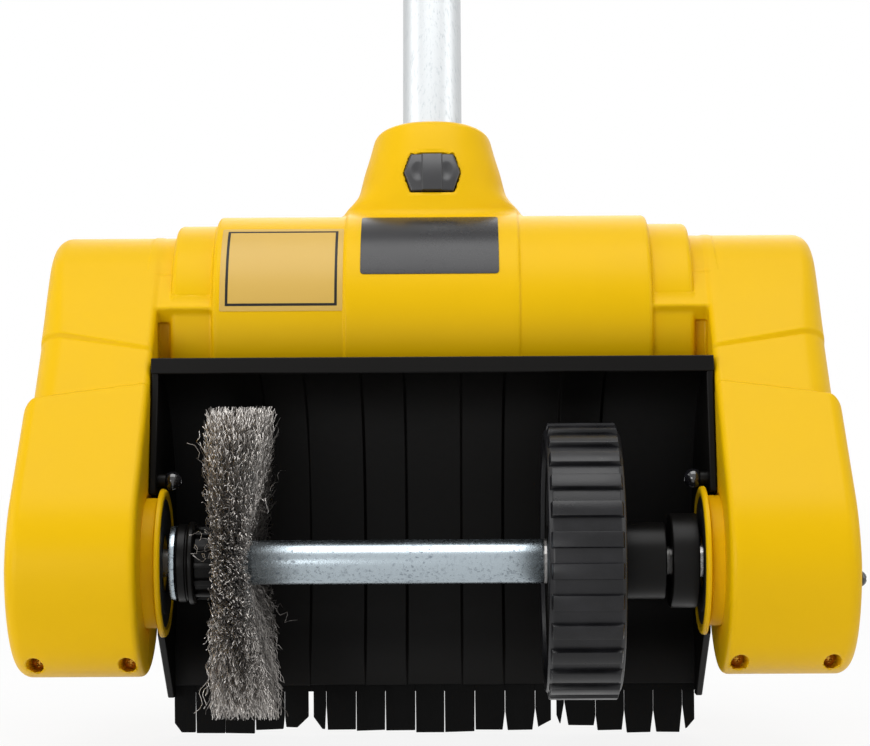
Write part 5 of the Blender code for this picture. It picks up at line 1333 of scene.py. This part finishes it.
for word, (edges, tips, tops, gaps, corners) in GROUPS.items():
    teeth = []
    for i, tip in enumerate(tips):
        first, last = i == 0, i == len(tips) - 1
        near, far = (0 if first else gaps[i - 1] / 2), (0 if last else gaps[i] / 2)
        top = (SIDE_CUT if first else -tops[i - 1], SIDE_CUT if last else -tops[i])
        cut = (corners[0] if first else 0, corners[1], corners[2] if last else 0, corners[3])
        lean = chance.uniform(-3, 5)
        tips_here = (tip + chance.uniform(-0.3, 0.3), tip + chance.uniform(-0.3, 0.3))
        teeth.append(tongue(
            edges[i] + 0.1, edges[i + 1] - 0.1, (near, far, *tips_here), top, cut, lean,
        ))
    nodes = ("rubber_flap",) if word == "middle" else ()
    piece("flap_teeth_" + word, joined(teeth), "head", FLAP, *nodes, bevel=0.0003)
upright = HEAD @ TO_FRONT
strap = prism(box_outline(-0.1204, 0.1204, -0.0655, -0.0457), -0.0800, -0.0776, upright)
piece("flap_strip", strap, "head", FLAP, bevel=0.0004)
clamp = prism(box_outline(-0.1144, 0.1144, -0.0608, -0.0462), -0.0832, -0.0804, upright)
piece("flap_clamp", clamp, "head", BLACK, "flap_clamp_strip", bevel=0.0008)
print("the flap has", sum(len(g[1]) for g in GROUPS.values()), "teeth")

# %% [markdown]
# ## Screws
#
# The shells are held by pan-head screws with a cross recess. One head is made from a distance
# rule, a dome less a tapered cross, and every screw is a copy with its own shank. The hood's two
# screws have smooth round heads instead, turned from a profile.

# %% A pan-head screw
CROSS_DEPTH, SHANK = 0.0016, 0.0018


def screw_head(outer, height):
    ball = (outer ** 2 + height ** 2) / (2 * height)

    def rule(x, y, z):
        dome = np.sqrt(x * x + y * y + (z - height + ball) ** 2) - ball
        head = common(meet(dome, -z), np.hypot(x, y) - outer, 0.0003)
        depth = np.clip((z - height + CROSS_DEPTH) / CROSS_DEPTH, 0, 1.2)
        arm, blade = 0.55 * outer * (0.55 + 0.45 * depth), 0.16 * outer * (0.6 + 0.4 * depth)
        first = meet(np.abs(x) - arm, np.abs(y) - blade)
        second = meet(np.abs(y) - arm, np.abs(x) - blade)
        cross = meet(np.minimum(first, second), height - CROSS_DEPTH - z)
        return less(head, cross, 0.00012)

    reach = outer + 0.0003
    return moulding(
        "screw_head", rule, (-reach, -reach, -0.0003), (reach, reach, height + 0.0003),
        outer / 16, 3000, STILL,
    )


def set_screw(name, place, matrix, length, head_mesh, material, node, frame_at=HEAD, body="head"):
    seat = frame_at @ shift(place) @ matrix @ shift((0, 0, 0.0003))
    cap = head_mesh.copy()
    cap.transform(seat)
    moulded_piece(name, cap, body, material, node)
    shank = turned([(0, 0.0001), (SHANK, 0.0001), (SHANK, -length), (0, -length)], seat, 24)
    piece(name + "_shank", shank, body, material)


# The screws' zinc is tinted yellow as a painted reflection of the yellow plastic round their
# recesses.
ZINC_WITH_PAINTED_YELLOW = metal("zinc_with_painted_yellow_reflection", (0.78, 0.47, 0.07), (0.55, 0.30, 0.03), 0.45, 500)
SCREW_BLACK = moulded("blackened_screw_steel", (0.010, 0.010, 0.012), 0.10, 0.000004, gloss=0.9)
pan = screw_head(0.0033, 0.0022)
print("screws are ready")

# %% All the head's screws
DOME = 0.0042
for word, spots, seat, matrix, length in (
    ("nose_screw_", NOSE_SCREWS, NOSE_SEAT, TO_FRONT, 0.028),
    ("rear_screw_", [REAR_SCREW], REAR_SEAT, TO_BACK, 0.044),
):
    places = [(side * out, seat, level) for side in (-1, 1) for out, level in spots]
    for number, place in enumerate(places):
        name = word + str(number + 1)
        set_screw("set_" + name, place, matrix, length, pan, ZINC_WITH_PAINTED_YELLOW, name)
for side, word, matrix in ((-1, "left", SIDEWAYS), (1, "right", SIDEWAYS @ FLIP)):
    seat = HEAD @ shift((side * 0.1155, *HOOD_SCREW)) @ matrix
    dome = [(0, 0.0046), (0.0014, 0.0046)] + [
        (DOME * math.sin(math.radians(turn)), 0.0024 + DOME * math.cos(math.radians(turn)))
        for turn in range(20, 125, 7)
    ] + [(0.0034, 0), (SHANK, 0), (SHANK, -0.0127), (0, -0.0127)]
    name = word + "_hood_screw"
    piece("set_" + name, turned(dome, seat, 48), "head", SCREW_BLACK, name)
set_screw(
    "set_side_screw", (0.1806, *SIDE_SCREW), SIDEWAYS, 0.0085, pan, SCREW_BLACK, "side_screw",
)
print("nine screws are set")

# %% [markdown]
# ## Release button
#
# A six-sided button in the neck's pocket pushes a spring pin out of the tube. Its face is
# slightly crowned, with a raised band up the middle and a dent on each side of it. The band is
# left bare.

# %% The button and what lies under it
BUTTON = POLE @ shift((0, 0, BUTTON_UP)) @ TO_FRONT
CROWN, CREST = 0.0294, 0.0300


def button_rule(x, y, z):
    crown = CROWN - 5.0 * x * x - 13.0 * y * y
    body = common(hexagon(x, y, 0), z - crown, 0.0010)
    band = meet(np.abs(x) - 0.0047, hexagon(x, y, -0.0002))
    band = common(band, z - CREST + 13.0 * y * y, 0.0006)
    dent = np.hypot(np.hypot(np.abs(x) - 0.0068, 0.6 * y), z - 0.0316) - 0.0033
    body = meet(union(less(body, dent, 0.0010), band, 0.0002), 0.0232 - z)
    well = meet(np.hypot(x, y) - 0.0060, z - 0.0275)
    stem = meet(np.hypot(x, y) - 0.0024, z - 0.028)
    return np.minimum(meet(body, -well), meet(stem, 0.0181 - z))


mould(
    "release_button_cap", button_rule, ((-0.0136, -0.0104, 0.0176), (0.0136, 0.0104, 0.0310)),
    0.0003, 30000, BUTTON, "release_button", GLOSS_BLACK, "tube_release_button",
)
pin = turned([
    (0, 0.0176), (0.0030, 0.0176), (0.0030, 0.0110), (0.0042, 0.0110), (0.0042, 0.0095),
    (0, 0.0095),
], BUTTON, 32, 0.0007)
piece("spring_pin", pin, "tube_pin", STEEL, "snap_pin")
print("the button's band stands", round(CREST - CROWN, 4), "m proud")

# %% A spring from a formula
def coil(radius, wire, low, high, turns, matrix, sides=8, steps=18):
    rows = []
    for i in range(turns * steps + 1):
        angle = math.tau * i / steps
        out = Vector((math.cos(angle), math.sin(angle), 0))
        level = low + (high - low) * i / (turns * steps)
        rows.append([
            out * (radius + wire * math.cos(math.tau * k / sides))
            + Vector((0, 0, level + wire * math.sin(math.tau * k / sides)))
            for k in range(sides)
        ])
    return skinned(rows, matrix)


spring = coil(0.0046, 0.0004, 0.0189, 0.0269, 5, BUTTON)
spring = piece("coiled_spring", spring, "head", STEEL, "button_spring")
tuple(BUTTON.to_3x3() @ Vector((0, 0, 1)))
tuple(BUTTON @ Vector((0, 0, 0.0189)))
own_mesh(spring)
print("the spring has five turns")

# %% [markdown]
# ## Tubes and their clamp
#
# The pole is two aluminium tubes that slide. Thin-walled tubes have crisp but deburred ends.
# The black collar is a moulding with a lug, clamped by a lever that folds down along the tube.

# %% The tubes
LOWER_TOP, UPPER_FOOT = 0.560, 0.430
for name, body, radii, ends in (
    ("lower_tube", "head", (0.0125, 0.0140), (0.044, LOWER_TOP)),
    ("upper_tube", "telescope", (0.0109, 0.0122), (UPPER_FOOT, 0.925)),
):
    piece("drawn_" + name, ring(*radii, *ends, POLE, 96, 0.0003), body, ALUMINIUM, name)
print("the tubes overlap by", round(LOWER_TOP - UPPER_FOOT, 3), "m at rest")

# %% The collar
COLLAR_RADIUS, COLLAR_MIDDLE, COLLAR_HALF = 0.0200, 0.005, 0.035
LEVER_PIVOT, LUG_RADIUS = (-0.026, 0.028), 0.0045


def collar_rule(x, y, z):
    """In the pole's frame, from the lower tube's top."""
    out = np.hypot(x, y)
    body = common(out - COLLAR_RADIUS, np.abs(z - COLLAR_MIDDLE) - COLLAR_HALF, 0.003)
    ribbed = smooth(z, -0.022, -0.018) - smooth(z, 0.006, 0.010)
    ribs = 0.0005 * np.cos(18 * np.arctan2(x, -y)) * ribbed
    waist = 0.0010 * smooth(z, 0.014, 0.018)
    body = body + ribs * (0.5 + 0.5 * np.sign(out - 0.019)) + waist
    lug = stadium(y, z, LEVER_PIVOT, LUG_RADIUS, (-0.016, LEVER_PIVOT[1]), LUG_RADIUS)
    body = union(body, common(lug, np.abs(x) - 0.005, 0.0006), 0.0012)
    pivot = np.hypot(y - LEVER_PIVOT[0], z - LEVER_PIVOT[1]) - 0.0025
    pivot = meet(pivot, np.abs(x) - 0.0080)
    body = np.minimum(body, pivot)
    slot = meet(np.abs(x) - 0.0008, 0.012 - out, -0.002 - z, -y)
    bore = np.where(z < 0.0003, out - LOWER_FIT, out - UPPER_FIT)
    return meet(less(body, slot, 0.0003), -bore)


mould(
    "clamp_collar", collar_rule, ((-0.0215, -0.0315, -0.0310), (0.0215, 0.0215, 0.0410)), 0.0007,
    60000, POLE @ shift((0, 0, LOWER_TOP)), "head", BLACK, "telescope_collar",
)


def lever_rule(x, y, z):
    """The lever hangs down from its pivot, and its tip turns away from the tube."""
    curl = 14 * np.clip(-z - 0.022, 0, 1) ** 2
    grip = stadium(y + curl, z, (0, 0), 0.0058, (-0.001, -0.046), 0.0029)
    form = common(grip, np.abs(x) - 0.0088, 0.0014)
    slot = meet(np.hypot(y, z) - 0.0105, np.abs(x) - 0.0056)
    pivot = np.hypot(y, z) - 0.0028
    grooves = 0.0004 * np.maximum(np.cos(z * 2000), 0) * (1 - smooth(z, -0.034, -0.030))
    return meet(less(form, slot, 0.0005) + grooves * (y < -0.001), -pivot)


PIVOT = POLE @ shift((0, LEVER_PIVOT[0], LOWER_TOP + LEVER_PIVOT[1]))
mould(
    "clamping_lever", lever_rule, ((-0.0094, -0.0180, -0.0500), (0.0094, 0.0070, 0.0065)), 0.0005,
    40000, PIVOT, "lever", BLACK, "clamp_lever",
)
print("the collar and its lever are in place")

# %% [markdown]
# ## Second handle
#
# A bow for the leading hand turns on a bolt through a clamp on the tube, and a knob with six
# lobes holds it. The bow is a bent bar with a soft ribbed sleeve over its middle.

# %% The clamp, the bow's eyes and the knob
BOLT_AHEAD, BOLT_UP = 0.032, 0.785
CLAMP_WIDE, CLAMP_HALF, CLAMP_RADIUS, BOLT_FIT = 0.0155, 0.0135, 0.0182, 0.0033
AUX = POLE @ shift((0, -BOLT_AHEAD, BOLT_UP))


def clamp_rule(x, y, z):
    """In the bow's frame: the tube lies 32 mm behind the bolt."""
    tube = np.hypot(x, y - BOLT_AHEAD)
    half = np.abs(z) - CLAMP_HALF
    foot = block(x, y, z, (0, 0.010, 0), (CLAMP_WIDE, 0.019, 0.03), 0.004)
    form = union(tube - CLAMP_RADIUS, foot, 0.004)
    front = np.hypot(y, z) - 0.0132
    form = meet(form, np.where(y < 0, front, half))
    form = common(common(form, half, 0.0015), np.abs(x) - CLAMP_WIDE, 0.0015)
    form = common(form, -0.0098 - y, 0.001)
    slit = meet(np.abs(x) - 0.0008, y - 0.026)
    bores = np.minimum(tube - UPPER_FIT, np.hypot(y, z) - BOLT_FIT)
    return meet(less(form, slit, 0.0004), -bores)


mould(
    "tube_clamp", clamp_rule, ((-0.0165, -0.0105, -0.0145), (0.0165, 0.0510, 0.0145)), 0.0006,
    50000, AUX, "telescope", BLACK, "handle_clamp",
)


def knob_rule(x, y, z):
    """Along the bolt, with six finger dents and a dished face."""
    out, angle = np.hypot(x, y), np.arctan2(y, x)
    lobes = out - 0.0150 - 0.0017 * np.cos(6 * angle)
    form = common(lobes, np.abs(z - 0.0071) - 0.0070, 0.0018)
    dish = np.hypot(out, z - 0.0141 - 0.020) - 0.0212
    return meet(less(form, dish, 0.0006), BOLT_FIT - out)


GAP = 0.0003
OUTER = CLAMP_WIDE + GAP + 0.0166
mould(
    "lobed_knob", knob_rule, ((-0.0172, -0.0172, -0.0006), (0.0172, 0.0172, 0.0146)), 0.0005,
    40000, AUX @ SIDEWAYS @ shift((0, 0, OUTER + GAP)), "knob", BLACK, "handle_knob",
)
bolt = turned([
    (0, OUTER + 0.0045), (0.0042, OUTER + 0.0045), (0.0060, OUTER + 0.0035),
    (0.0060, OUTER + GAP), (0.0030, OUTER + GAP), (0.0030, -OUTER - 0.0120),
    (0, -OUTER - 0.0120),
], AUX @ SIDEWAYS @ FLIP, 48, 0.0005)
piece("carriage_bolt", bolt, "knob", STEEL, "handle_bolt")
print("the bolt reaches", round(OUTER, 4), "m to each side")

# %% The bow and its sleeve
def swept(points, radii, matrix, sides=32):
    """A round bar through points, with its own radius at each."""
    rows, normal = [], Vector((0, 0, 1))
    for i, point in enumerate(points):
        ahead = (points[min(i + 1, len(points) - 1)] - points[max(i - 1, 0)]).normalized()
        normal = (normal - ahead * normal.dot(ahead)).normalized()
        across = ahead.cross(normal)
        turns = [math.tau * k / sides for k in range(sides)]
        rows.append([
            point + (normal * math.cos(turn) + across * math.sin(turn)) * radii[i] for turn in turns
        ])
    return skinned(rows, matrix)


BOW_RADIUS, ARM_SHARE = 0.062, 0.06


def bow_point(share):
    """Up one arm, round the bow and down the other, 30 degrees above the pole's square."""
    inner = OUTER - 0.0083
    start = -math.acos(inner / BOW_RADIUS)
    if not ARM_SHARE <= share <= 1 - ARM_SHARE:
        x = inner if share < 0.5 else -inner
        reach = 0.0065 + min(share, 1 - share) / ARM_SHARE * 0.016
    else:
        turn = start + (math.pi - 2 * start) * (share - ARM_SHARE) / (1 - 2 * ARM_SHARE)
        x, reach = BOW_RADIUS * math.cos(turn), 0.020 + 0.0525 * (1 + math.sin(turn))
    rise = math.radians(30)
    return Vector((x, -reach * math.cos(rise), reach * math.sin(rise)))


PATH_STEPS, SLEEVE_STEPS, BAR_RADIUS = 120, 160, 0.0078
path = [bow_point(i / PATH_STEPS) for i in range(PATH_STEPS + 1)]
bar = swept(path, [BAR_RADIUS] * len(path), AUX)
eyes = [
    ring(BOLT_FIT, 0.0110, low, high, AUX @ SIDEWAYS, 64, 0.0012)
    for low, high in ((0.0158, OUTER), (-OUTER, -0.0158))
]
piece("bent_bow", joined([bar, *eyes]), "bow", BLACK, "bow_handle", sharp=50)
middle = [bow_point(0.30 + 0.40 * i / SLEEVE_STEPS) for i in range(SLEEVE_STEPS + 1)]
radii = []
for i in range(len(middle)):
    end = min(i, SLEEVE_STEPS - i) / 8
    groove = 0.0005 if (i % 8) in (0, 1) and 10 < i < SLEEVE_STEPS - 10 else 0.0
    radii.append(0.0079 + 0.0012 * min(1, math.sqrt(end)) - groove)
piece("bow_sleeve", swept(middle, radii, AUX), "bow", SOFT_BLACK, sharp=60)
print("the bow's sleeve has ribs for the fingers")

# %% [markdown]
# ## Main handle
#
# The D-handle is two yellow shells round the tube, with the switch inside, a trigger under the
# grip and a guard in front. One form is ruled for both shells: a rounded outline, thinner at
# the guard, with the hand hole cut out with generous fillets. A soft ribbed pad lies over the
# back of the grip.

# %% The handle's form
FOOT, HEIGHT = 0.880, 0.195
HANDLE_SCREW, LOCK_SPOT, GLAND_BACK = (0.024, 0.038), (0.022, 0.095), 0.0215
HANDLE_BACK, HANDLE_FRONT, HANDLE_HALF = 0.035, -0.055, 0.0170
HOLE_MIDDLE, HOLE_HALF = (-0.0135, 0.1145), (0.0215, 0.0565)


def handle_form(x, y, z):
    up = z - FOOT
    side = meet(y - HANDLE_BACK, HANDLE_FRONT - y)
    ends = meet(-up, up - HEIGHT)
    lower = meet(
        0.942 * (y - 0.019) - 0.335 * up, -0.811 * (y + 0.019) - 0.584 * up,
    )
    outline = common(common(side, ends, 0.012), lower, 0.010)
    half = HANDLE_HALF - 0.0025 * smooth(-y, 0.020, 0.045) * smooth(up, 0.045, 0.075)
    form = common(outline, np.abs(x) - half, 0.0085)
    across = np.abs(y - HOLE_MIDDLE[0]) - HOLE_HALF[0]
    along = np.abs(up - HOLE_MIDDLE[1]) - HOLE_HALF[1]
    hole = common(across, along, 0.012)
    return less(form, hole, 0.0065)


def handle_shell(x, y, z):
    form = handle_form(x, y, z)
    seam = meet(np.abs(x) - 0.0004, -0.0005 - form)
    form = meet(form, -seam)
    up = z - FOOT
    off = np.hypot(y - HANDLE_SCREW[0], up - HANDLE_SCREW[1])
    socket = np.where(up < 0.050, 0.0160 - np.hypot(x, y), -1)
    room = meet(form + 0.003, socket, 0.0055 - off)
    tube = meet(np.hypot(x, y) - UPPER_FIT, up - 0.0453)
    slot = meet(
        np.abs(x) - 0.0061, np.abs(up - 0.088) - 0.0250, np.abs(y - 0.0095) - 0.0035,
    )
    lock = meet(np.hypot(y - LOCK_SPOT[0], up - LOCK_SPOT[1]) - 0.0063, x)
    gland = meet(np.hypot(x, y - GLAND_BACK) - 0.0063, HEIGHT - 0.010 - up)
    screw = meet(off - BORE_FOR_SCREW, x - 0.0130)
    recess = meet(off - RECESS, x + 0.0140)
    holes = np.minimum.reduce([tube, slot, lock, gland, screw, recess])
    return meet(less(form, holes, 0.0004), -room)


HANDLE_CORNERS = (-0.0180, -0.0560, 0.8790), (0.0180, 0.0365, 1.0765)
HANDLE_CELL = 0.0012
for side, word in ((-1, "left"), (1, "right")):
    mould(
        word + "_grip_shell", lambda x, y, z: meet(handle_shell(x, y, z), 0.00015 - side * x),
        HANDLE_CORNERS, HANDLE_CELL, 90000, POLE, "telescope", YELLOW, word + "_handle_shell",
    )


def pad_rule(x, y, z):
    up = z - FOOT
    ribs = 0.00025 * np.cos(up * math.tau / 0.0045) * smooth(y, 0.018, 0.026)
    layer = np.abs(handle_form(x, y, z) - 0.0004 - ribs) - 0.0004
    shape = common(0.0150 - y, np.abs(up - 0.116) - 0.046, 0.008)
    return common(layer, shape, 0.0002)


mould(
    "soft_grip_pad", pad_rule, ((-0.0185, 0.0130, 0.9450), (0.0185, 0.0375, 1.0460)), 0.00075,
    90000, POLE, "telescope", SOFT_BLACK,
)
print("the handle is", HEIGHT, "m long")

# %% Trigger, lock button and cord inlet
def flowing(corners, steps=6):
    """A closed outline that passes smoothly through its corners."""
    result, count = [], len(corners)
    for i in range(count):
        a, b, c, d = (Vector(corners[(i + k) % count]) for k in (-1, 0, 1, 2))
        for k in range(steps):
            t = k / steps
            result.append(tuple(
                0.5 * (2 * b + (c - a) * t + (2 * a - 5 * b + 4 * c - d) * t ** 2
                       + (3 * b - a - 3 * c + d) * t ** 3)
            ))
    return result


finger = flowing([
    (0.0, -0.0042), (-0.010, -0.0036), (-0.0160, 0.004), (-0.0192, 0.013), (-0.0188, 0.025),
    (-0.0198, 0.034), (-0.014, 0.0388), (-0.004, 0.0375), (0.0036, 0.033), (0.0040, 0.004),
])
TRIGGER = POLE @ shift((0, 0.016, 0.950))
blade = prism(finger, -0.0054, 0.0054, TRIGGER @ SIDEWAYS)
piece("finger_trigger_blade", blade, "finger_trigger", BLACK, "trigger", bevel=0.0012, segments=3)
LOCK = POLE @ shift((0, LOCK_SPOT[0], FOOT + LOCK_SPOT[1]))
lock = turned([
    (0, 0.0196), (0.0035, 0.0199), (0.0050, 0.0205), (0.0060, 0.0198), (0.0060, 0.0137),
    (0.0075, 0.0137), (0.0075, 0.0125), (0, 0.0125),
], LOCK @ SIDEWAYS @ FLIP, 48, 0.0006)
piece("dished_lock_button", lock, "lock_button", BLACK, "lock_off_button")
top = FOOT + HEIGHT
rings = [(0.0036, top + 0.034)]
for i in range(5):
    level = top + 0.034 - 0.0058 * i
    wide = 0.0054 + 0.0007 * i
    rings += [(wide, level), (wide + 0.0002, level - 0.0036), (wide - 0.0009, level - 0.0040),
              (wide - 0.0008, level - 0.0056)]
rings += [(0.0085, top + 0.0032), (0.0085, top + 0.0003), (0.0060, top + 0.0003),
          (0.0060, top - 0.0063), (0.0075, top - 0.0063), (0.0075, top - 0.0085),
          (0.0036, top - 0.0085)]
gland = turned(rings, POLE @ shift((0, GLAND_BACK, 0)), 48, 0.0004)
piece("ribbed_cord_inlet", gland, "telescope", SOFT_BLACK, "cord_gland")
place = (-0.0140, HANDLE_SCREW[0], FOOT + HANDLE_SCREW[1])
set_screw(
    "set_handle_screw", place, SIDEWAYS @ FLIP, 0.026, pan, ZINC_WITH_PAINTED_YELLOW, "handle_screw", POLE,
    "telescope",
)
print("the cord's inlet is left open, because the photograph shows no cord")

# %% [markdown]
# ## What lies inside
#
# The motor, gears, belt and bearings only show when the machine is taken apart, so their CAD
# shapes stay, and each gets the finish of its real material: varnished copper, turned metal,
# carbon, black plastic and black rubber.

# %% Finishes for the inner parts
CARBON = moulded("pressed_carbon", (0.030, 0.030, 0.032), 0.55, 0.00005, 2500)
INNER = {
    COPPER: ["motor_stator"],
    CARBON: ["front_carbon_brush", "rear_carbon_brush"],
    BELT: ["drive_belt"],
    BLACK: ["motor_fan", "switch_box", "left_motor_bracket", "right_motor_bracket"],
    STEEL: ["motor_armature", "motor_pinion", "reduction_gear", "jackshaft", "drive_pulley",
            "driven_pulley", "wheel_bush"],
}
for material, nodes in INNER.items():
    for node in nodes:
        for slot in bpy.data.objects[node].material_slots:
            slot.material = material
print(sum(len(nodes) for nodes in INNER.values()), "inner nodes have their finishes")

# %% [markdown]
# ## The stage
#
# A pale floor and soft lamps, with the camera where the photographer stood: level with the
# hood's top edge, a little over a metre away.

# %% Camera, lamps, floor and background
DISTANCE, EYE_UP = 1.100, 0.082
camera_data = bpy.data.cameras.new("camera")
camera_data.lens = 105.6
camera_data.sensor_width = 36
camera_data.shift_x, camera_data.shift_y = 0.0034, -0.0018
camera = linked("camera", camera_data)
camera.location = (0.0073, AXLE.y - DISTANCE, AXLE.z + EYE_UP)
camera.rotation_euler = (math.radians(90), math.radians(0.33), math.radians(0.38))
bpy.context.scene.camera = camera


def lamp(name, place, target, width, height, power):
    data = bpy.data.lights.new(name, "AREA")
    data.shape, data.size, data.size_y, data.energy = "RECTANGLE", width, height, power
    obj = linked(name, data)
    towards = Vector(target) - Vector(place)
    turned_to = towards.to_track_quat("-Z", "Y").to_matrix().to_4x4()
    obj.matrix_world = shift(place) @ turned_to


lamp("softbox_above", (0, -0.55, 1.75), (0, -0.15, 0.2), 1.5, 1.2, 19)
lamp("softbox_front", (-1.2, -2.1, 0.35), (0, -0.2, 0.20), 1.5, 0.7, 16.5)
lamp("softbox_right", (1.6, -0.6, 0.9), (0, -0.2, 0.2), 0.9, 1.2, 6)
lamp("softbox_left", (-1.6, -0.4, 0.8), (0, -0.2, 0.2), 0.9, 1.2, 6)
lamp("softbox_rear", (0.2, 1.8, 1.4), (0, 0, 0.5), 1.4, 1.4, 11)

scene = bpy.context.scene
scene.view_settings.view_transform = "Standard"
world = bpy.data.worlds.new("studio")
scene.world = world
world.use_nodes = True
sky = Tree(world.node_tree)
world.node_tree.nodes.clear()
seen = sky.seen_rays()
plain = sky.node("ShaderNodeBackground", {}, {"Color": (0.86, 0.88, 0.90, 1), "Strength": 0.34})
white = sky.node("ShaderNodeBackground", {}, {"Color": (1, 1, 1, 1), "Strength": 1.0})
mix = sky.node("ShaderNodeMixShader", {}, {0: seen, 1: plain, 2: white})
output = world.node_tree.nodes.new("ShaderNodeOutputWorld")
world.node_tree.links.new(mix.socket, output.inputs["Surface"])

FLOOR_HALF, FLOOR_LEVEL = 6, -0.0004
corners = [(x * FLOOR_HALF, y * FLOOR_HALF, FLOOR_LEVEL) for x, y in box_outline(-1, 1, -1, 1)]
floor = linked("floor", mesh_of(corners, [(0, 1, 2, 3)]))
floor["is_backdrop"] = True
floor_finish = Finish("pale_floor", Roughness=0.9, Specular_IOR_Level=0.1)
floor_finish.shader.inputs["Base Color"].default_value = (0.88, 0.88, 0.88, 1)
far = floor_finish.node(
    "ShaderNodeVectorMath", {"operation": "LENGTH"}, [floor_finish.place], "Value",
)
share = floor_finish.seen_rays() * floor_finish.spread(far, 0.5, 2.2, 0.87, 1.0)
glow = floor_finish.node("ShaderNodeEmission", {}, {"Color": (1, 1, 1, 1), "Strength": 1.0})
mix = floor_finish.node("ShaderNodeMixShader", {}, {0: share, 2: glow})
floor_finish.tree.links.new(floor_finish.shader.outputs[0], mix.socket.node.inputs[1])
surface = floor_finish.tree.nodes["Material Output"].inputs["Surface"]
floor_finish.tree.links.new(mix.socket, surface)
floor.data.materials.append(floor_finish.material)

visual_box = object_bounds()
[[list(map(float, corner)) for corner in box] for box in (cad_box, visual_box)]
